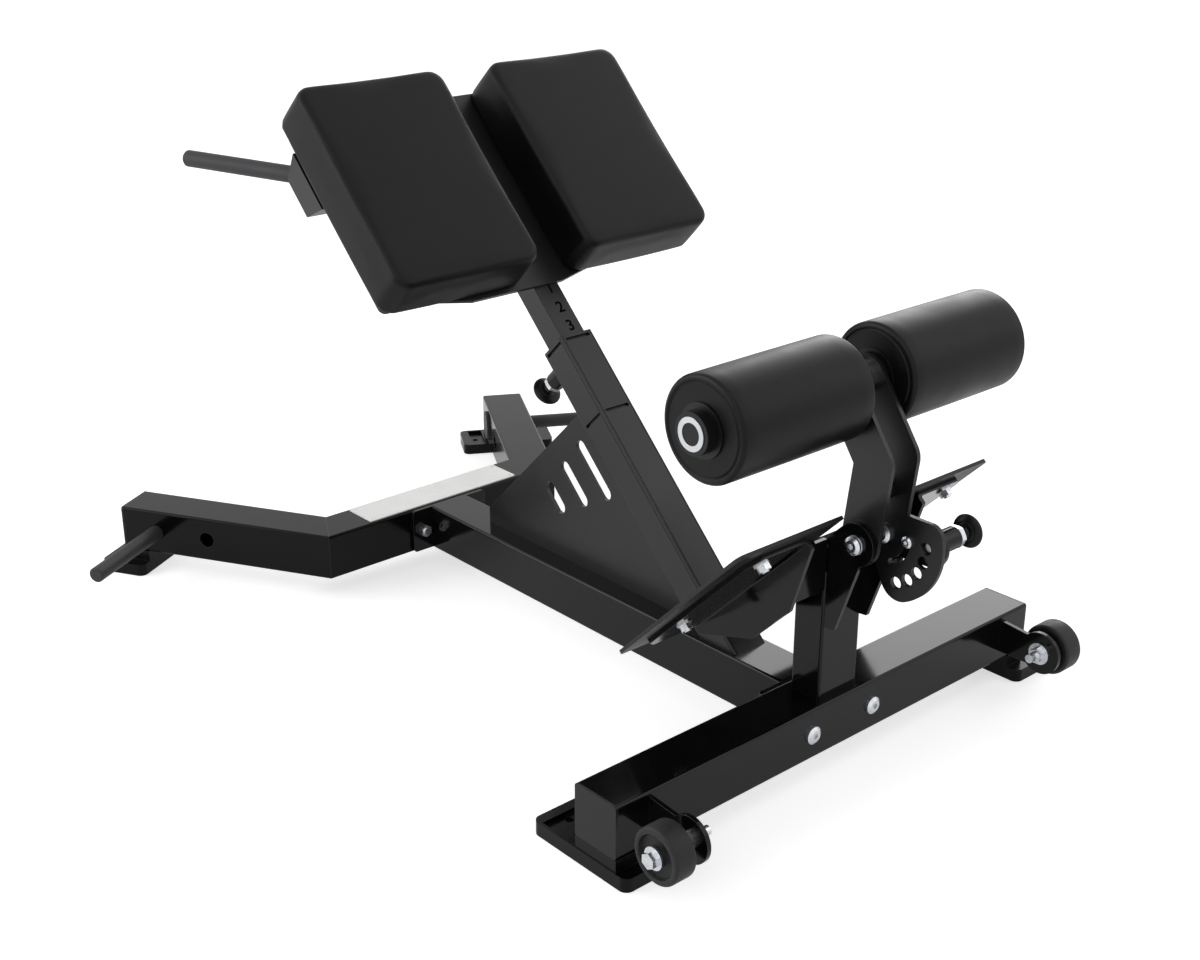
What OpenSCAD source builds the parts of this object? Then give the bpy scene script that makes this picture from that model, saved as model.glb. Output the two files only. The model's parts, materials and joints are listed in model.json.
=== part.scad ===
// Hyperextension bench: hip pads on a 45 degree post, a foot deck and an adjustable ankle roller.
// +Z is up and -Y is the rear, where the user steps on. The origin lies on the floor under the
// middle of the rear crossmember. All sizes are in millimetres and degrees.

/* [Base frame] */
// Side of the square base tubes
tube = 76.2; // [70:0.1:90]
// Wall of the base tubes
tube_wall = 3; // [2:0.5:5]
// Outside corner radius of the base tubes
tube_round = 4; // [2:0.5:6]
// Height of the tubes above the floor, and of the foot blocks
foot_h = 38.1; // [30:0.1:50]
// Length of the rear crossmember tube, without its caps
cross_len = 821; // [780:1:900]
// Thickness of the flat end caps
cap_t = 3; // [2:0.5:5]
// Depth that a cap's plug reaches into its tube
plug_len = 14; // [8:1:25]
// Distance from the crossmember's axis to the rear face of the V base
base_reach = 857; // [830:1:900]
// Half width of the V base's straight middle, on its rear face
v_half = 239.6; // [220:1:260]
// Angle between each wing and the straight middle
wing_angle = 60; // [50:1:65]
// Length of each wing along its rear face
wing_len = 389; // [370:1:420]

/* [Flanges and frame bolts] */
// Thickness of the spine's bolt flanges
flange_t = 6; // [4:0.5:9]
// Width of the rear flange
rear_flange_w = 160; // [150:1:180]
// Width of the front flange
front_flange_w = 152; // [145:1:170]
// Height of both flanges
flange_h = 75; // [68:1:76]
// Half the spacing of the rear bolts
rear_bolt_x = 60.5; // [56:0.5:66]
// Half the spacing of the front bolts
front_bolt_x = 56; // [54:0.5:62]
// Diameter of the frame bolts
frame_bolt_d = 12.7; // [10:0.1:14]
// Clearance on the diameter of every bolt hole
bolt_clear = 0.5; // [0.3:0.1:1]

/* [Feet] */
// Width of each foot pad along its tube
foot_w = 82; // [70:1:100]
// Length of each foot pad across its tube
foot_len = 180; // [160:1:200]
// Height of a foot pad's rim
foot_rim_h = 20; // [14:0.5:26]
// Depth of the recess in a foot pad
foot_recess = 6; // [3:0.5:10]
// Width of the rim beside the recess
foot_rim = 5; // [3:0.5:10]
// Width of the lip at a foot pad's inner end
foot_lip = 16; // [10:1:22]
// Corner radius of a foot pad
foot_round = 12; // [6:1:18]
// Distance of a rear foot pad's middle from the crossmember's end
rear_foot_in = 13.9; // [5:0.1:30]
// Distance of a rear foot pad's middle in front of the crossmember's axis
rear_foot_ahead = 31.5; // [20:0.5:40]
// Distance of a front foot pad's middle past its wing's end
front_foot_past = 9.1; // [-10:0.1:20]
// Distance of a front foot pad's middle inside its wing's axis
front_foot_in = 10.4; // [0:0.1:20]
// Sideways offset of all four foot pads, to the right
foot_shift = 22.4; // [0:0.1:26]
// Distance of an anchor hole from its foot pad's lip end
anchor_in = 27; // [24:1:34]
// Diameter of the anchor holes in the feet
anchor_d = 11; // [8:0.5:14]

/* [Band pegs] */
// Diameter of a band peg
peg_d = 25.4; // [20:0.1:30]
// Reach of a band peg from its wing
peg_len = 177.5; // [120:1:200]
// Diameter of a band peg inside its wing
peg_seat_d = 24.4; // [18:0.1:25]
// Length of the neck between a peg's free part and its wing
peg_neck = 0.5; // [0.3:0.1:2]
// Distance of a band peg from the wing's bend
peg_at = 327; // [300:1:345]
// Distance of the spare peg hole from the wing's bend
spare_hole_at = 230; // [190:1:260]
// Clearance on the diameter of the peg holes
peg_clear = 0.5; // [0.3:0.1:1]
// Diameter of a peg's stop disc
peg_disc_d = 54; // [40:1:60]
// Thickness of a peg's stop disc
peg_disc_t = 5; // [3:0.5:8]

/* [Inclined post] */
// Where the post's rear face meets the spine's top
post_y = 134.8; // [120:1:150]
// Incline of the post from the floor
post_angle = 45; // [44:0.5:46]
// Length of the outer post along its rear face
post_len = 537.5; // [510:1:560]
// Width of the sliding inner post
inner_w = 46.8; // [42:0.1:50]
// Depth of the sliding inner post
inner_d = 41.8; // [38:0.1:46]
// Wall of the inner post
inner_wall = 3; // [2:0.5:4]
// Wall of the outer post
post_wall = 4; // [3:0.5:5]
// Wall of the plastic liner
liner_t = 2.5; // [2:0.5:3]
// Gap between the inner post and its liner, on each face
slide_gap = 0.1; // [0.05:0.01:0.2]
// Length of the liner
liner_len = 158; // [140:1:170]
// Distance of the post pin from the outer post's top
pin_down = 29.5; // [25:0.5:40]
// Spacing of the height holes
height_step = 34; // [30:1:36]
// Height positions below the one shown
steps_down = 2; // [1:1:2]
// Height positions above the one shown
steps_up = 4; // [2:1:4]
// Width of the slits in the outer post
slit_w = 5; // [3:0.5:6]
// Width of the two grooves beside each rear corner of the outer post
groove_w = 1.2; // [0.8:0.1:1.6]
// Depth of those grooves
groove_d = 0.8; // [0.4:0.1:1.2]
// Distance of those grooves from the corner
groove_in = 4.2; // [4:0.1:5]
// Distance of the middle slits from the outer post's top
slit_down = 131.5; // [110:1:140]
// Thickness of the gusset plate
gusset_t = 6.35; // [5:0.05:10]
// Distance of the gusset's front edge from the post's foot, along the post
gusset_top = 442; // [400:1:460]
// Height of the gusset's blunt front corner
gusset_nose = 26.5; // [15:0.5:35]

/* [Pads] */
// Width of one hip pad
pad_w = 260; // [230:1:266]
// Length of one hip pad
pad_len = 348; // [310:1:360]
// Thickness of a pad with its board
pad_t = 75; // [60:1:85]
// Clear gap between the two pads
pad_gap = 83; // [76:1:100]
// Distance of the pads' lower end from the outer post's top
pad_low = 94.5; // [92:0.5:115]
// Corner radius of a pad
pad_round = 25; // [20:1:32]
// Thickness of a pad's board
board_t = 12; // [9:1:15]
// Vinyl margin round a board
board_inset = 9; // [6:1:14]
// Thickness of the carrier plate
carrier_t = 6.35; // [4:0.05:8]
// Margin of the carrier plate inside the pads' edges
carrier_margin = 8; // [4:0.5:12]
// Reach of the carrier plate's tab past the pads' lower end
tab_len = 6; // [3:0.5:9]
// Half width of that tab
tab_half = 85; // [60:1:110]
// Length of the tab's slanted sides
tab_slope = 72; // [30:1:90]
// Sideways offset of the tab, to the left
tab_shift = 55; // [0:1:70]
// Diameter of the pad bolts
pad_bolt_d = 8; // [6:1:9]

/* [Pad bracket and handles] */
// Length of the cross bracket
bracket_len = 596; // [560:1:600]
// Distance of the bracket's foot from the pads' lower end
bracket_up = 189.5; // [175:0.5:200]
// Width of the bracket at the carrier plate
bracket_foot = 98; // [90:1:104]
// Width of the bracket's flat face
bracket_flat = 66; // [56:1:74]
// Depth of the bracket
bracket_d = 43; // [40:1:48]
// Sheet thickness of the bracket
bracket_wall = 4; // [3:0.5:5]
// Diameter of the handles
handle_d = 25.4; // [20:0.1:28]
// Length of a handle outside the bracket
handle_len = 225; // [160:1:240]
// Outward splay of the handles
handle_splay = 15.8; // [10:0.1:20]
// Distance of a handle's root from the middle
handle_x = 280; // [270:0.5:282]

/* [Upright and foot deck] */
// Depth of the upright tube
upright_d = 50.8; // [45:0.1:60]
// Distance of the upright's axis behind the crossmember's axis
upright_shift = 0.8; // [0:0.1:8]
// Height of the upright above the crossmember
upright_h = 190; // [176:1:194]
// Thickness of the deck plate
deck_t = 5; // [4:0.5:6]
// Width of the deck plate
deck_w = 485.2; // [460:1:500]
// Length of the deck plate down its slope
deck_len = 304.8; // [290:1:330]
// Distance of the deck's upper edge behind the crossmember's axis
deck_back = 63.1; // [62:0.1:66]
// Height of the deck's upper edge
deck_top = 403.3; // [402:0.1:406]
// Half width of the notch for the roller arm
notch_half = 56.2; // [50:0.1:60]
// Length of the notch
notch_len = 82; // [78:1:90]
// Corner radius of the deck
deck_round = 12; // [6:1:20]
// Thickness of the bent brackets, cheeks and side plates
sheet_t = 6.35; // [5:0.05:7]
// Distance of a bracket's web from the middle, to its inner face
web_x = 105.65; // [100:0.05:112]
// Width of a bracket's flange past its web
web_flange = 96; // [85:1:105]
// Upper end of the brackets, from the deck's upper edge
web_from = 21; // [15:1:30]
// Length of the brackets
web_len = 273; // [260:1:280]
// Depth of the webs behind the deck
web_depth = 69.5; // [66:0.5:80]
// Distance of the deck bolts from the middle
deck_bolt_x = 178; // [160:1:190]
// Distance of the upper deck bolts from the deck's upper edge
deck_bolt_y = 41; // [38:1:60]
// Spacing of the deck bolts down the slope
deck_bolt_step = 188; // [160:1:200]
// Diameter of the deck bolts
deck_bolt_d = 10; // [8:1:12]

/* [Roller arm] */
// Distance of the arm pivot behind the crossmember's axis
pivot_back = 70; // [68:0.5:72]
// Height of the arm pivot
pivot_z = 358.3; // [356:0.5:361]
// Inner spacing of the pivot cheeks
cheek_gap = 58; // [54:0.5:60]
// Radius of the cheeks' round ends
cheek_r = 29.5; // [26:0.5:30]
// Gap between each arm plate and its cheek
arm_gap = 1; // [0.8:0.1:1.5]
// Width of the arm plates
arm_w = 60; // [50:1:62]
// Length of the arm from its pivot to its knee
arm_low = 113.9; // [105:0.5:125]
// Lean of the arm's lower leg from upright, to the rear
arm_lean = 7.06; // [5:0.1:9]
// Length of the arm from its knee to the roller axis
arm_up = 106.4; // [95:0.5:115]
// Lean of the arm's upper leg from upright, to the front
arm_tilt = 34.9; // [30:0.1:40]
// Radius of the arm's hole row
hole_r = 67.5; // [64:0.5:72]
// Outer radius of the arm's sector
sector_r = 94; // [90:0.5:98]
// Angle between neighbouring holes
hole_step = 17.25; // [17:0.05:17.5]
// Number of holes in the sector
hole_count = 5; // [4:1:5]
// Radius of the slot for the stop bolt
slot_r = 38.5; // [37:0.5:42]
// Diameter of the pivot bolts
pivot_d = 12.7; // [10:0.1:14]
// Running clearance on the diameter of every turning fit
turn_clear = 0.12; // [0.06:0.02:0.2]
// Diameter of the stop bolt
stop_d = 8; // [6:0.5:9]

/* [Rollers] */
// Diameter of the roller shaft
shaft_d = 42.2; // [36:0.1:44]
// Wall of the roller shaft
shaft_wall = 7; // [4:0.5:8]
// Outer diameter of the foam rollers
roller_d = 136.6; // [110:0.1:140]
// Distance of a roller's inner end from the middle
roller_in = 36.5; // [36:0.1:42]
// Length of a foam roller
roller_len = 230.7; // [200:0.1:240]
// Edge radius of the foam
roller_round = 12; // [6:1:18]
// Diameter of the roller cores
core_d = 60; // [54:1:64]
// Diameter of the core flanges
core_flange_d = 69; // [65:1:80]
// Thickness of the core flanges
core_flange_t = 3; // [2:0.5:4]
// Width of the outer shaft collars
collar_w = 15; // [10:1:20]
// Diameter of the shaft collars
collar_d = 54; // [50:1:60]

/* [Locking pins] */
// Diameter of a locking pin
pin_d = 15.9; // [12:0.1:16]
// Clearance on the diameter of the holes that a pin drops into
pin_clear = 1; // [0.6:0.1:1.2]
// Clearance on the diameter of a pin in its housing
housing_clear = 0.16; // [0.06:0.02:0.2]
// Outer diameter of a pin housing
housing_d = 30; // [26:1:32]
// Length of a pin housing's barrel
housing_len = 43; // [36:1:48]
// Length of the hex nut on a housing
housing_nut = 8; // [6:0.5:10]
// Travel of a pin from its parked place to its locking place
pin_travel = 14; // [12:0.5:16]
// Distance of a parked pin's tip behind the inner face that it passes
pin_short = 0.3; // [0.2:0.1:0.6]
// Diameter of a pin's knob
knob_d = 46; // [36:1:50]

/* [Wheels] */
// Diameter of the transport wheels
wheel_d = 76.2; // [68:0.1:80]
// Width of the transport wheels
wheel_w = 34; // [26:1:38]
// Distance of the wheel brackets' inner face from the crossmember's end
wheel_bracket_in = 58.5; // [50:0.5:80]
// Distance of the wheel axles behind the crossmember's axis
axle_back = 108; // [104:1:116]
// Height of the wheel axles
axle_z = 80.3; // [78:0.1:90]
// Length of the spacer between bracket and wheel on the left
left_spacer = 22; // [6:1:26]
// Length of the spacer between bracket and wheel on the right
right_spacer = 9; // [6:1:26]
// Diameter of the wheel axles
axle_d = 12.7; // [10:0.1:14]
// Radius of the wheel brackets' round ends
wheel_plate_r = 32; // [28:1:36]

/* [Name plate] */
// Length of the blank plate
plate_len = 308; // [200:1:360]
// Width of the blank plate
plate_w = 66; // [40:1:68]
// Thickness of the blank plate
plate_t = 2; // [1:0.5:3]

/* [Hidden] */
$fn = 64;
eps = 0.01;
// Small step by which an arc stands proud of the straight that it meets, so that they cross
blend = 0.02;
coat = "#232325";
dark = "#161617";
vinyl = "#18181a";
steel = "#b9bcc0";
rubber = "#2a2a2c";
tube_top = foot_h + tube;
tube_mid = foot_h + tube / 2;
cross_end = cross_len / 2;
wheel_bracket_x = cross_end - wheel_bracket_in;
spine_from = tube / 2 + flange_t;
spine_to = base_reach - flange_t;
miter = tube * tan(wing_angle / 2);
post_w = inner_w + 2 * (slide_gap + liner_t + post_wall);
post_d = inner_d + 2 * (slide_gap + liner_t + post_wall);
inner_back = -(post_wall + liner_t + slide_gap);
inner_front = inner_back - inner_d;
pin_s = post_len - pin_down;
inner_from = pin_s - steps_up * height_step - 98;
carrier_top = inner_back + carrier_t;
carrier_w = 2 * pad_w + pad_gap - 2 * carrier_margin;
pad_s = post_len + pad_low;
bracket_s = pad_s + bracket_up;
slope_in = (bracket_foot - bracket_flat) / 2;
inner_to = bracket_s;
web_out = web_x + sheet_t;
arm_out = cheek_gap / 2 - arm_gap;
arm_in = arm_out - sheet_t;
cheek_out = cheek_gap / 2 + sheet_t;
knee = [-arm_low * sin(arm_lean), arm_low * cos(arm_lean)];
roller_at = knee + [arm_up * sin(arm_tilt), arm_up * cos(arm_tilt)];
arm_sweep = (hole_count - 1) * hole_step;
roller_out = roller_in + roller_len;
collar_at = roller_out + core_flange_t + slide_gap;
shaft_half = collar_at + collar_w + 1.5;
upright_back = -upright_d / 2 - upright_shift;
side_plate_low = tube_top + 165;

// Rounded rectangle, centred, made of true arcs.
module rounded(w, h, r) {
    square([w - 2 * r, h], center = true);
    square([w, h - 2 * r], center = true);
    for (i = [-1, 1], j = [-1, 1])
        translate([i * (w / 2 - r), j * (h / 2 - r)]) circle(r);
}

// Square hollow section of the base tubes.
module base_section() {
    difference() {
        rounded(tube, tube, tube_round);
        square(tube - 2 * tube_wall, center = true);
    }
}

// Runs a flat profile, drawn in Y and Z, along X from x0 to x1.
module along_x(x0, x1) {
    translate([x0, 0, 0]) rotate([90, 0, 90]) linear_extrude(x1 - x0) children();
}

// Cylinder along X.
module rod_x(d, x0, x1) {
    translate([x0, 0, 0]) rotate([0, 90, 0]) cylinder(d = d, h = x1 - x0);
}

// Hexagonal prism along X, by its width across flats.
module hex_x(flats, x0, x1) {
    translate([x0, 0, 0]) rotate([0, 90, 0]) cylinder(d = flats / cos(30), h = x1 - x0, $fn = 6);
}

// Puts a piece in the frame of a wing: X along the wing, Y inwards across it.
module on_wing(side) {
    translate([side * v_half, base_reach, 0])
        mirror([side < 0 ? 1 : 0, 0, 0]) rotate([0, 0, wing_angle]) children();
}

// Puts a piece in the post's frame: Y up along the post, Z out of its rear face.
module on_post() {
    translate([0, post_y, tube_top]) rotate([post_angle, 0, 0]) children();
}

// Puts a piece in the deck's frame: Y down the slope, Z out of the tread.
module on_deck() {
    translate([0, -deck_back, deck_top]) rotate([-45, 0, 0]) children();
}

// Puts a piece at the arm's pivot.
module at_pivot() {
    translate([0, -pivot_back, pivot_z]) children();
}

// Mirrors a piece to the right when side is 1; pieces are drawn on the left.
module on_side(side) {
    mirror([side > 0 ? 1 : 0, 0, 0]) children();
}

module rear_crossmember() color(coat)
    difference() {
        translate([0, 0, tube_mid]) along_x(-cross_end, cross_end) base_section();
        for (i = [-1, 1])
            translate([i * rear_bolt_x, 0, tube_mid]) rotate([90, 0, 0])
                cylinder(d = frame_bolt_d + bolt_clear, h = 2 * tube, center = true);
    }

module spine_tube() color(coat)
    translate([0, spine_to, tube_mid]) rotate([90, 0, 0])
        linear_extrude(spine_to - spine_from) base_section();

// Flange with two bolt holes, from y0 forwards.
module flange(w, bolt_x, y0) {
    translate([0, y0 + flange_t, tube_mid]) rotate([90, 0, 0]) linear_extrude(flange_t)
        difference() {
            rounded(w, flange_h, tube_round + 2);
            for (i = [-1, 1]) translate([i * bolt_x, 0]) circle(d = frame_bolt_d + bolt_clear);
        }
}

module spine_rear_flange() color(coat) flange(rear_flange_w, rear_bolt_x, tube / 2);

module spine_front_flange() color(coat) flange(front_flange_w, front_bolt_x, spine_to);

module v_centre() color(coat)
    difference() {
        intersection() {
            translate([0, base_reach + tube / 2, tube_mid])
                along_x(-v_half, v_half) base_section();
            linear_extrude(tube_top + tube)
                polygon([[-v_half, base_reach], [v_half, base_reach],
                    [v_half - miter, base_reach + tube], [miter - v_half, base_reach + tube]]);
        }
        for (i = [-1, 1])
            translate([i * front_bolt_x, base_reach + tube / 2, tube_mid]) rotate([90, 0, 0])
                cylinder(d = frame_bolt_d + bolt_clear, h = 2 * tube, center = true);
    }

// Wing tube with its mitred root, the peg hole and the spare hole.
module wing(side) {
    on_wing(side) difference() {
        intersection() {
            translate([0, tube / 2, tube_mid]) along_x(0, wing_len) base_section();
            linear_extrude(tube_top + tube)
                polygon([[0, 0], [wing_len, 0], [wing_len, tube], [miter, tube]]);
        }
        for (x = [peg_at, spare_hole_at])
            translate([x, tube / 2, tube_mid]) rotate([90, 0, 0])
                cylinder(d = peg_d + peg_clear, h = 2 * tube, center = true);
    }
}

module v_wing_left() color(coat) wing(-1);

module v_wing_right() color(coat) wing(1);

// Flat cap with a plug, closing a tube that ends at X = 0.
module end_cap() {
    along_x(0, cap_t) rounded(tube, tube, tube_round);
    along_x(-plug_len, 0)
        square(tube - 2 * tube_wall - 2 * slide_gap, center = true);
}

module tube_end_caps() color(dark) {
    for (i = [0, 1]) mirror([i, 0, 0]) translate([cross_end, 0, tube_mid]) end_cap();
    for (side = [-1, 1]) on_wing(side) translate([wing_len, tube / 2, tube_mid]) end_cap();
}

// Foot pad with its middle at x, y: a rimmed slab with a lip, a recess and a hole, and a block
// under the tube, whose axis lies along Y = 0 and whose end is at x_end.
module foot_pad(x, y, x_end) {
    left = x - foot_w / 2;
    lip_y = y + foot_len / 2 - foot_lip;
    difference() {
        union() {
            translate([x, y, 0]) linear_extrude(foot_rim_h) rounded(foot_w, foot_len, foot_round);
            translate([left, -tube / 2, foot_rim_h - eps])
                cube([min(foot_w, x_end - left), tube, foot_h - foot_rim_h + eps]);
        }
        translate([left + foot_rim, tube / 2, foot_rim_h - foot_recess])
            cube([foot_w - 2 * foot_rim, lip_y - tube / 2, foot_recess + 1]);
        translate([x, y + foot_len / 2 - anchor_in, -1]) cylinder(d = anchor_d, h = foot_h);
    }
}

// Rear foot, drawn on the right.
module rear_foot(side) {
    on_side(-side)
        foot_pad(cross_end - rear_foot_in + side * foot_shift, rear_foot_ahead, cross_end + cap_t);
}

// Front foot at its wing's end, lying along the wing.
module front_foot(side) {
    x = wing_len + front_foot_past + side * foot_shift * cos(wing_angle);
    y = front_foot_in - side * foot_shift * sin(wing_angle);
    on_wing(side) translate([0, tube / 2, 0]) foot_pad(x, y, wing_len + cap_t);
}

module rear_foot_left() color(rubber) rear_foot(-1);

module rear_foot_right() color(rubber) rear_foot(1);

module front_foot_left() color(rubber) front_foot(-1);

module front_foot_right() color(rubber) front_foot(1);

// Band peg through a wing, with its stop disc on the inner face.
module band_peg(side) {
    on_wing(side) translate([peg_at, 0, tube_mid]) rotate([-90, 0, 0]) {
        translate([0, 0, 2 - peg_len]) cylinder(d = peg_d, h = peg_len - 2 - peg_neck);
        translate([0, 0, -2 * peg_neck]) cylinder(d = peg_seat_d, h = tube + 3 * peg_neck);
        translate([0, 0, -peg_len]) cylinder(d1 = peg_d - 4, d2 = peg_d, h = 2);
        translate([0, 0, tube]) cylinder(d = peg_disc_d, h = peg_disc_t);
    }
}

module band_peg_left() color(coat) band_peg(-1);

module band_peg_right() color(coat) band_peg(1);

// Lightening slot with round ends, centred, along Y.
module slot_2d(w, len) {
    square([w, len - w], center = true);
    for (i = [-1, 1]) translate([0, i * (len - w) / 2]) circle(d = w);
}

// The gusset is drawn in the post's frame: Y along the post, X taken as depth below its face.
module gusset_plate() color(coat) {
    nose = gusset_nose * sqrt(2);
    on_post() translate([gusset_t / 2, 0, 0]) rotate([0, -90, 0]) linear_extrude(gusset_t)
        difference() {
            polygon([[-post_d, post_d], [-post_d, gusset_top],
                [-(gusset_top - nose), gusset_top], [-(gusset_top - nose / 2), gusset_top - nose / 2]]);
            for (i = [0:2])
                translate([-post_d - 62 - i * 58, gusset_top - 82 + i * 6])
                    slot_2d(22, 104 - i * 24);
        }
}

// Slit with round ends through the outer post's wall, along X.
module slit(long) {
    linear_extrude(post_wall + 2) {
        square([long - slit_w, slit_w], center = true);
        for (i = [-1, 1]) translate([i * (long - slit_w) / 2, 0]) circle(slit_w / 2 + blend);
    }
}

// Outer post: a box section cut off on the spine's top, with slits, grooves, and a pin hole.
module outer_post() color(coat)
    difference() {
        on_post() difference() {
            translate([0, post_len, -post_d / 2]) rotate([90, 0, 0])
                linear_extrude(post_len + post_d)
                    difference() {
                        rounded(post_w, post_d, 3);
                        square([post_w - 2 * post_wall, post_d - 2 * post_wall], center = true);
                    }
            translate([0, pin_s, -post_d - 1])
                cylinder(d = pin_d + pin_clear, h = post_wall + 2);
            for (s = [post_len - slit_w - 2, post_len - slit_down]) {
                translate([0, s, -post_wall - 1]) slit(post_w - 14);
                for (i = [-1, 1])
                    translate([i * (post_w / 2 - post_wall / 2), s, -post_d / 2]) rotate([0, 90, 0])
                        translate([0, 0, -post_wall / 2 - 1]) slit(post_d - 12);
            }
            for (i = [-1, 1]) {
                translate([i * (post_w / 2 - groove_in), 0, 0])
                    cube([groove_w, 3 * post_len, 2 * groove_d], center = true);
                translate([i * post_w / 2, 0, -groove_in])
                    cube([2 * groove_d, 3 * post_len, groove_w], center = true);
            }
        }
        translate([-tube, 0, tube_top - 2 * tube]) cube([2 * tube, 4 * tube, 2 * tube]);
    }

module post_liner() color(dark)
    on_post() difference() {
        translate([0, post_len, -post_d / 2]) rotate([90, 0, 0]) linear_extrude(liner_len)
            difference() {
                square([post_w - 2 * post_wall, post_d - 2 * post_wall], center = true);
                square([inner_w + 2 * slide_gap, inner_d + 2 * slide_gap], center = true);
            }
        translate([0, pin_s, -post_d]) cylinder(d = pin_d + pin_clear, h = post_d / 2);
    }

// Barrel and hex nut of a locking pin, standing on a face at Z = 0 and pointing up.
module pin_housing() {
    difference() {
        union() {
            cylinder(d = housing_d, h = housing_len);
            translate([0, 0, housing_len])
                cylinder(d = (housing_d - 3) / cos(30), h = housing_nut, $fn = 6);
        }
        translate([0, 0, -1])
            cylinder(d = pin_d + housing_clear, h = housing_len + housing_nut + 2);
    }
}

// Locking pin with its mushroom knob, parked; its housing's face is at Z = 0, its tip below.
module locking_pin(tip) {
    knob_z = housing_len + housing_nut + pin_travel + 0.3;
    translate([0, 0, 2 - tip]) cylinder(d = pin_d, h = tip + knob_z);
    translate([0, 0, -tip]) cylinder(d1 = pin_d - 3, d2 = pin_d, h = 2);
    translate([0, 0, knob_z]) cylinder(d1 = pin_d + 6, d2 = knob_d, h = 4);
    translate([0, 0, knob_z + 4]) cylinder(d = knob_d, h = 6);
    translate([0, 0, knob_z + 10]) cylinder(d1 = knob_d, d2 = knob_d - 12, h = 4);
}

// Places a locking pin's parts on the outer post's front face, pointing forwards and down.
module at_post_pin() {
    on_post() translate([0, pin_s, -post_d]) rotate([180, 0, 0]) children();
}

// Places a locking pin's parts on the right cheek, pointing to the right.
module at_arm_pin() {
    at_pivot() translate([cheek_out, -hole_r, 0]) rotate([0, 90, 0]) children();
}

module post_pin_housing() color(dark) at_post_pin() pin_housing();

module arm_pin_housing() color(dark) at_arm_pin() pin_housing();

module post_pin() color(dark)
    at_post_pin() locking_pin(post_wall + liner_t - pin_short);

module arm_pin() color(dark)
    at_arm_pin() locking_pin(sheet_t - pin_short);

module upright() color(coat) {
    translate([0, upright_back + upright_d / 2, tube_top]) {
        linear_extrude(upright_h - tube_wall) difference() {
            rounded(tube, upright_d, tube_round);
            square([tube - 2 * tube_wall, upright_d - 2 * tube_wall], center = true);
        }
        translate([0, 0, upright_h - tube_wall])
            linear_extrude(tube_wall) rounded(tube, upright_d, tube_round);
    }
}

// Flat plate that ties the upright's side to the web of a deck bracket.
module side_plate(side) {
    back_line = deck_top - deck_back - deck_t * sqrt(2);
    top = back_line - upright_back - sheet_t - 0.3;
    on_side(side) translate([-web_x, upright_back, side_plate_low])
        cube([web_x - tube / 2, sheet_t, top - side_plate_low]);
}

module side_plate_left() color(coat) side_plate(-1);

module side_plate_right() color(coat) side_plate(1);

// Outline of a pivot cheek about the pivot, in Y and Z.
module cheek_outline() {
    front = upright_back + pivot_back;
    top = cheek_r / sqrt(2);
    polygon([[front, 2 * top - front], [top, top], [0, 0], [-9.5, -25.3], [front - 17.3, -132],
        [front, -134]]);
    circle(cheek_r);
}

// Left cheek, on the upright's rear face, with the bore of its pivot bolt.
module pivot_cheek_left() color(coat)
    at_pivot() along_x(-cheek_out, -cheek_gap / 2) difference() {
        cheek_outline();
        circle(d = pivot_d + turn_clear);
    }

// Right cheek, which also reaches back to carry the arm's pin and the stop bolt.
module pivot_cheek_right() color(coat)
    at_pivot() along_x(cheek_gap / 2, cheek_out) difference() {
        union() {
            cheek_outline();
            translate([-hole_r, 0]) circle(housing_d / 2 + 12);
            polygon([[0, cheek_r], [-hole_r, housing_d / 2 + 12],
                [-hole_r, -housing_d / 2 - 12], [0, -cheek_r]]);
        }
        circle(d = pivot_d + turn_clear);
        translate([-slot_r, 0]) circle(d = stop_d + bolt_clear);
        translate([-hole_r, 0]) circle(d = pin_d + housing_clear);
    }

// Button-head bolt along X from its head's seat at X = 0 to x1, with the head at negative X.
module button_bolt_x(d, x1) {
    difference() {
        union() {
            rod_x(d, -eps, x1);
            rod_x(2 * d, -d * 0.3, 0);
            translate([-d * 0.55, 0, 0]) rotate([0, 90, 0])
                cylinder(d1 = 1.3 * d, d2 = 2 * d, h = d * 0.25);
        }
        hex_x(d * 0.6, -d * 0.55 - 1, -d * 0.2);
    }
}

module pivot_bolts() color(steel)
    at_pivot() {
        tip = cheek_out - arm_in + pivot_d;
        translate([-cheek_out - 2, 0, 0]) button_bolt_x(pivot_d, tip + 2);
        difference() {
            union() {
                translate([-cheek_out, 0, 0]) rod_x(2.1 * pivot_d, -2, 0);
                hex_x(1.5 * pivot_d, -arm_in + 0.3, -arm_in + 0.75 * pivot_d);
            }
            rod_x(pivot_d, -cheek_out - 3, 0);
        }
        translate([arm_in - 0.3, 0, 0]) button_bolt_x(pivot_d, tip + 0.3);
        difference() {
            hex_x(1.5 * pivot_d, cheek_out, cheek_out + 0.7 * pivot_d);
            rod_x(pivot_d, cheek_out - 1, cheek_out + 2 * pivot_d);
        }
    }

module stop_bolt() color(steel)
    at_pivot() translate([0, -slot_r, 0]) {
        translate([arm_in - 0.3, 0, 0]) button_bolt_x(stop_d, cheek_out - arm_in + stop_d + 0.3);
        difference() {
            hex_x(1.6 * stop_d, cheek_out, cheek_out + 0.75 * stop_d);
            rod_x(stop_d, cheek_out - 1, cheek_out + 2 * stop_d);
        }
    }

// Places a child at each deck bolt, in the deck's frame.
module at_deck_bolts() {
    for (i = [-1, 1], j = [0, 1])
        translate([i * deck_bolt_x, deck_bolt_y + j * deck_bolt_step, 0]) children();
}

module foot_deck() color(coat)
    on_deck() translate([0, 0, -deck_t]) linear_extrude(deck_t)
        difference() {
            translate([0, deck_len / 2]) rounded(deck_w, deck_len, deck_round);
            translate([-notch_half, -1]) square([2 * notch_half, notch_len + 1]);
            at_deck_bolts() circle(d = deck_bolt_d + bolt_clear);
        }

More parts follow.
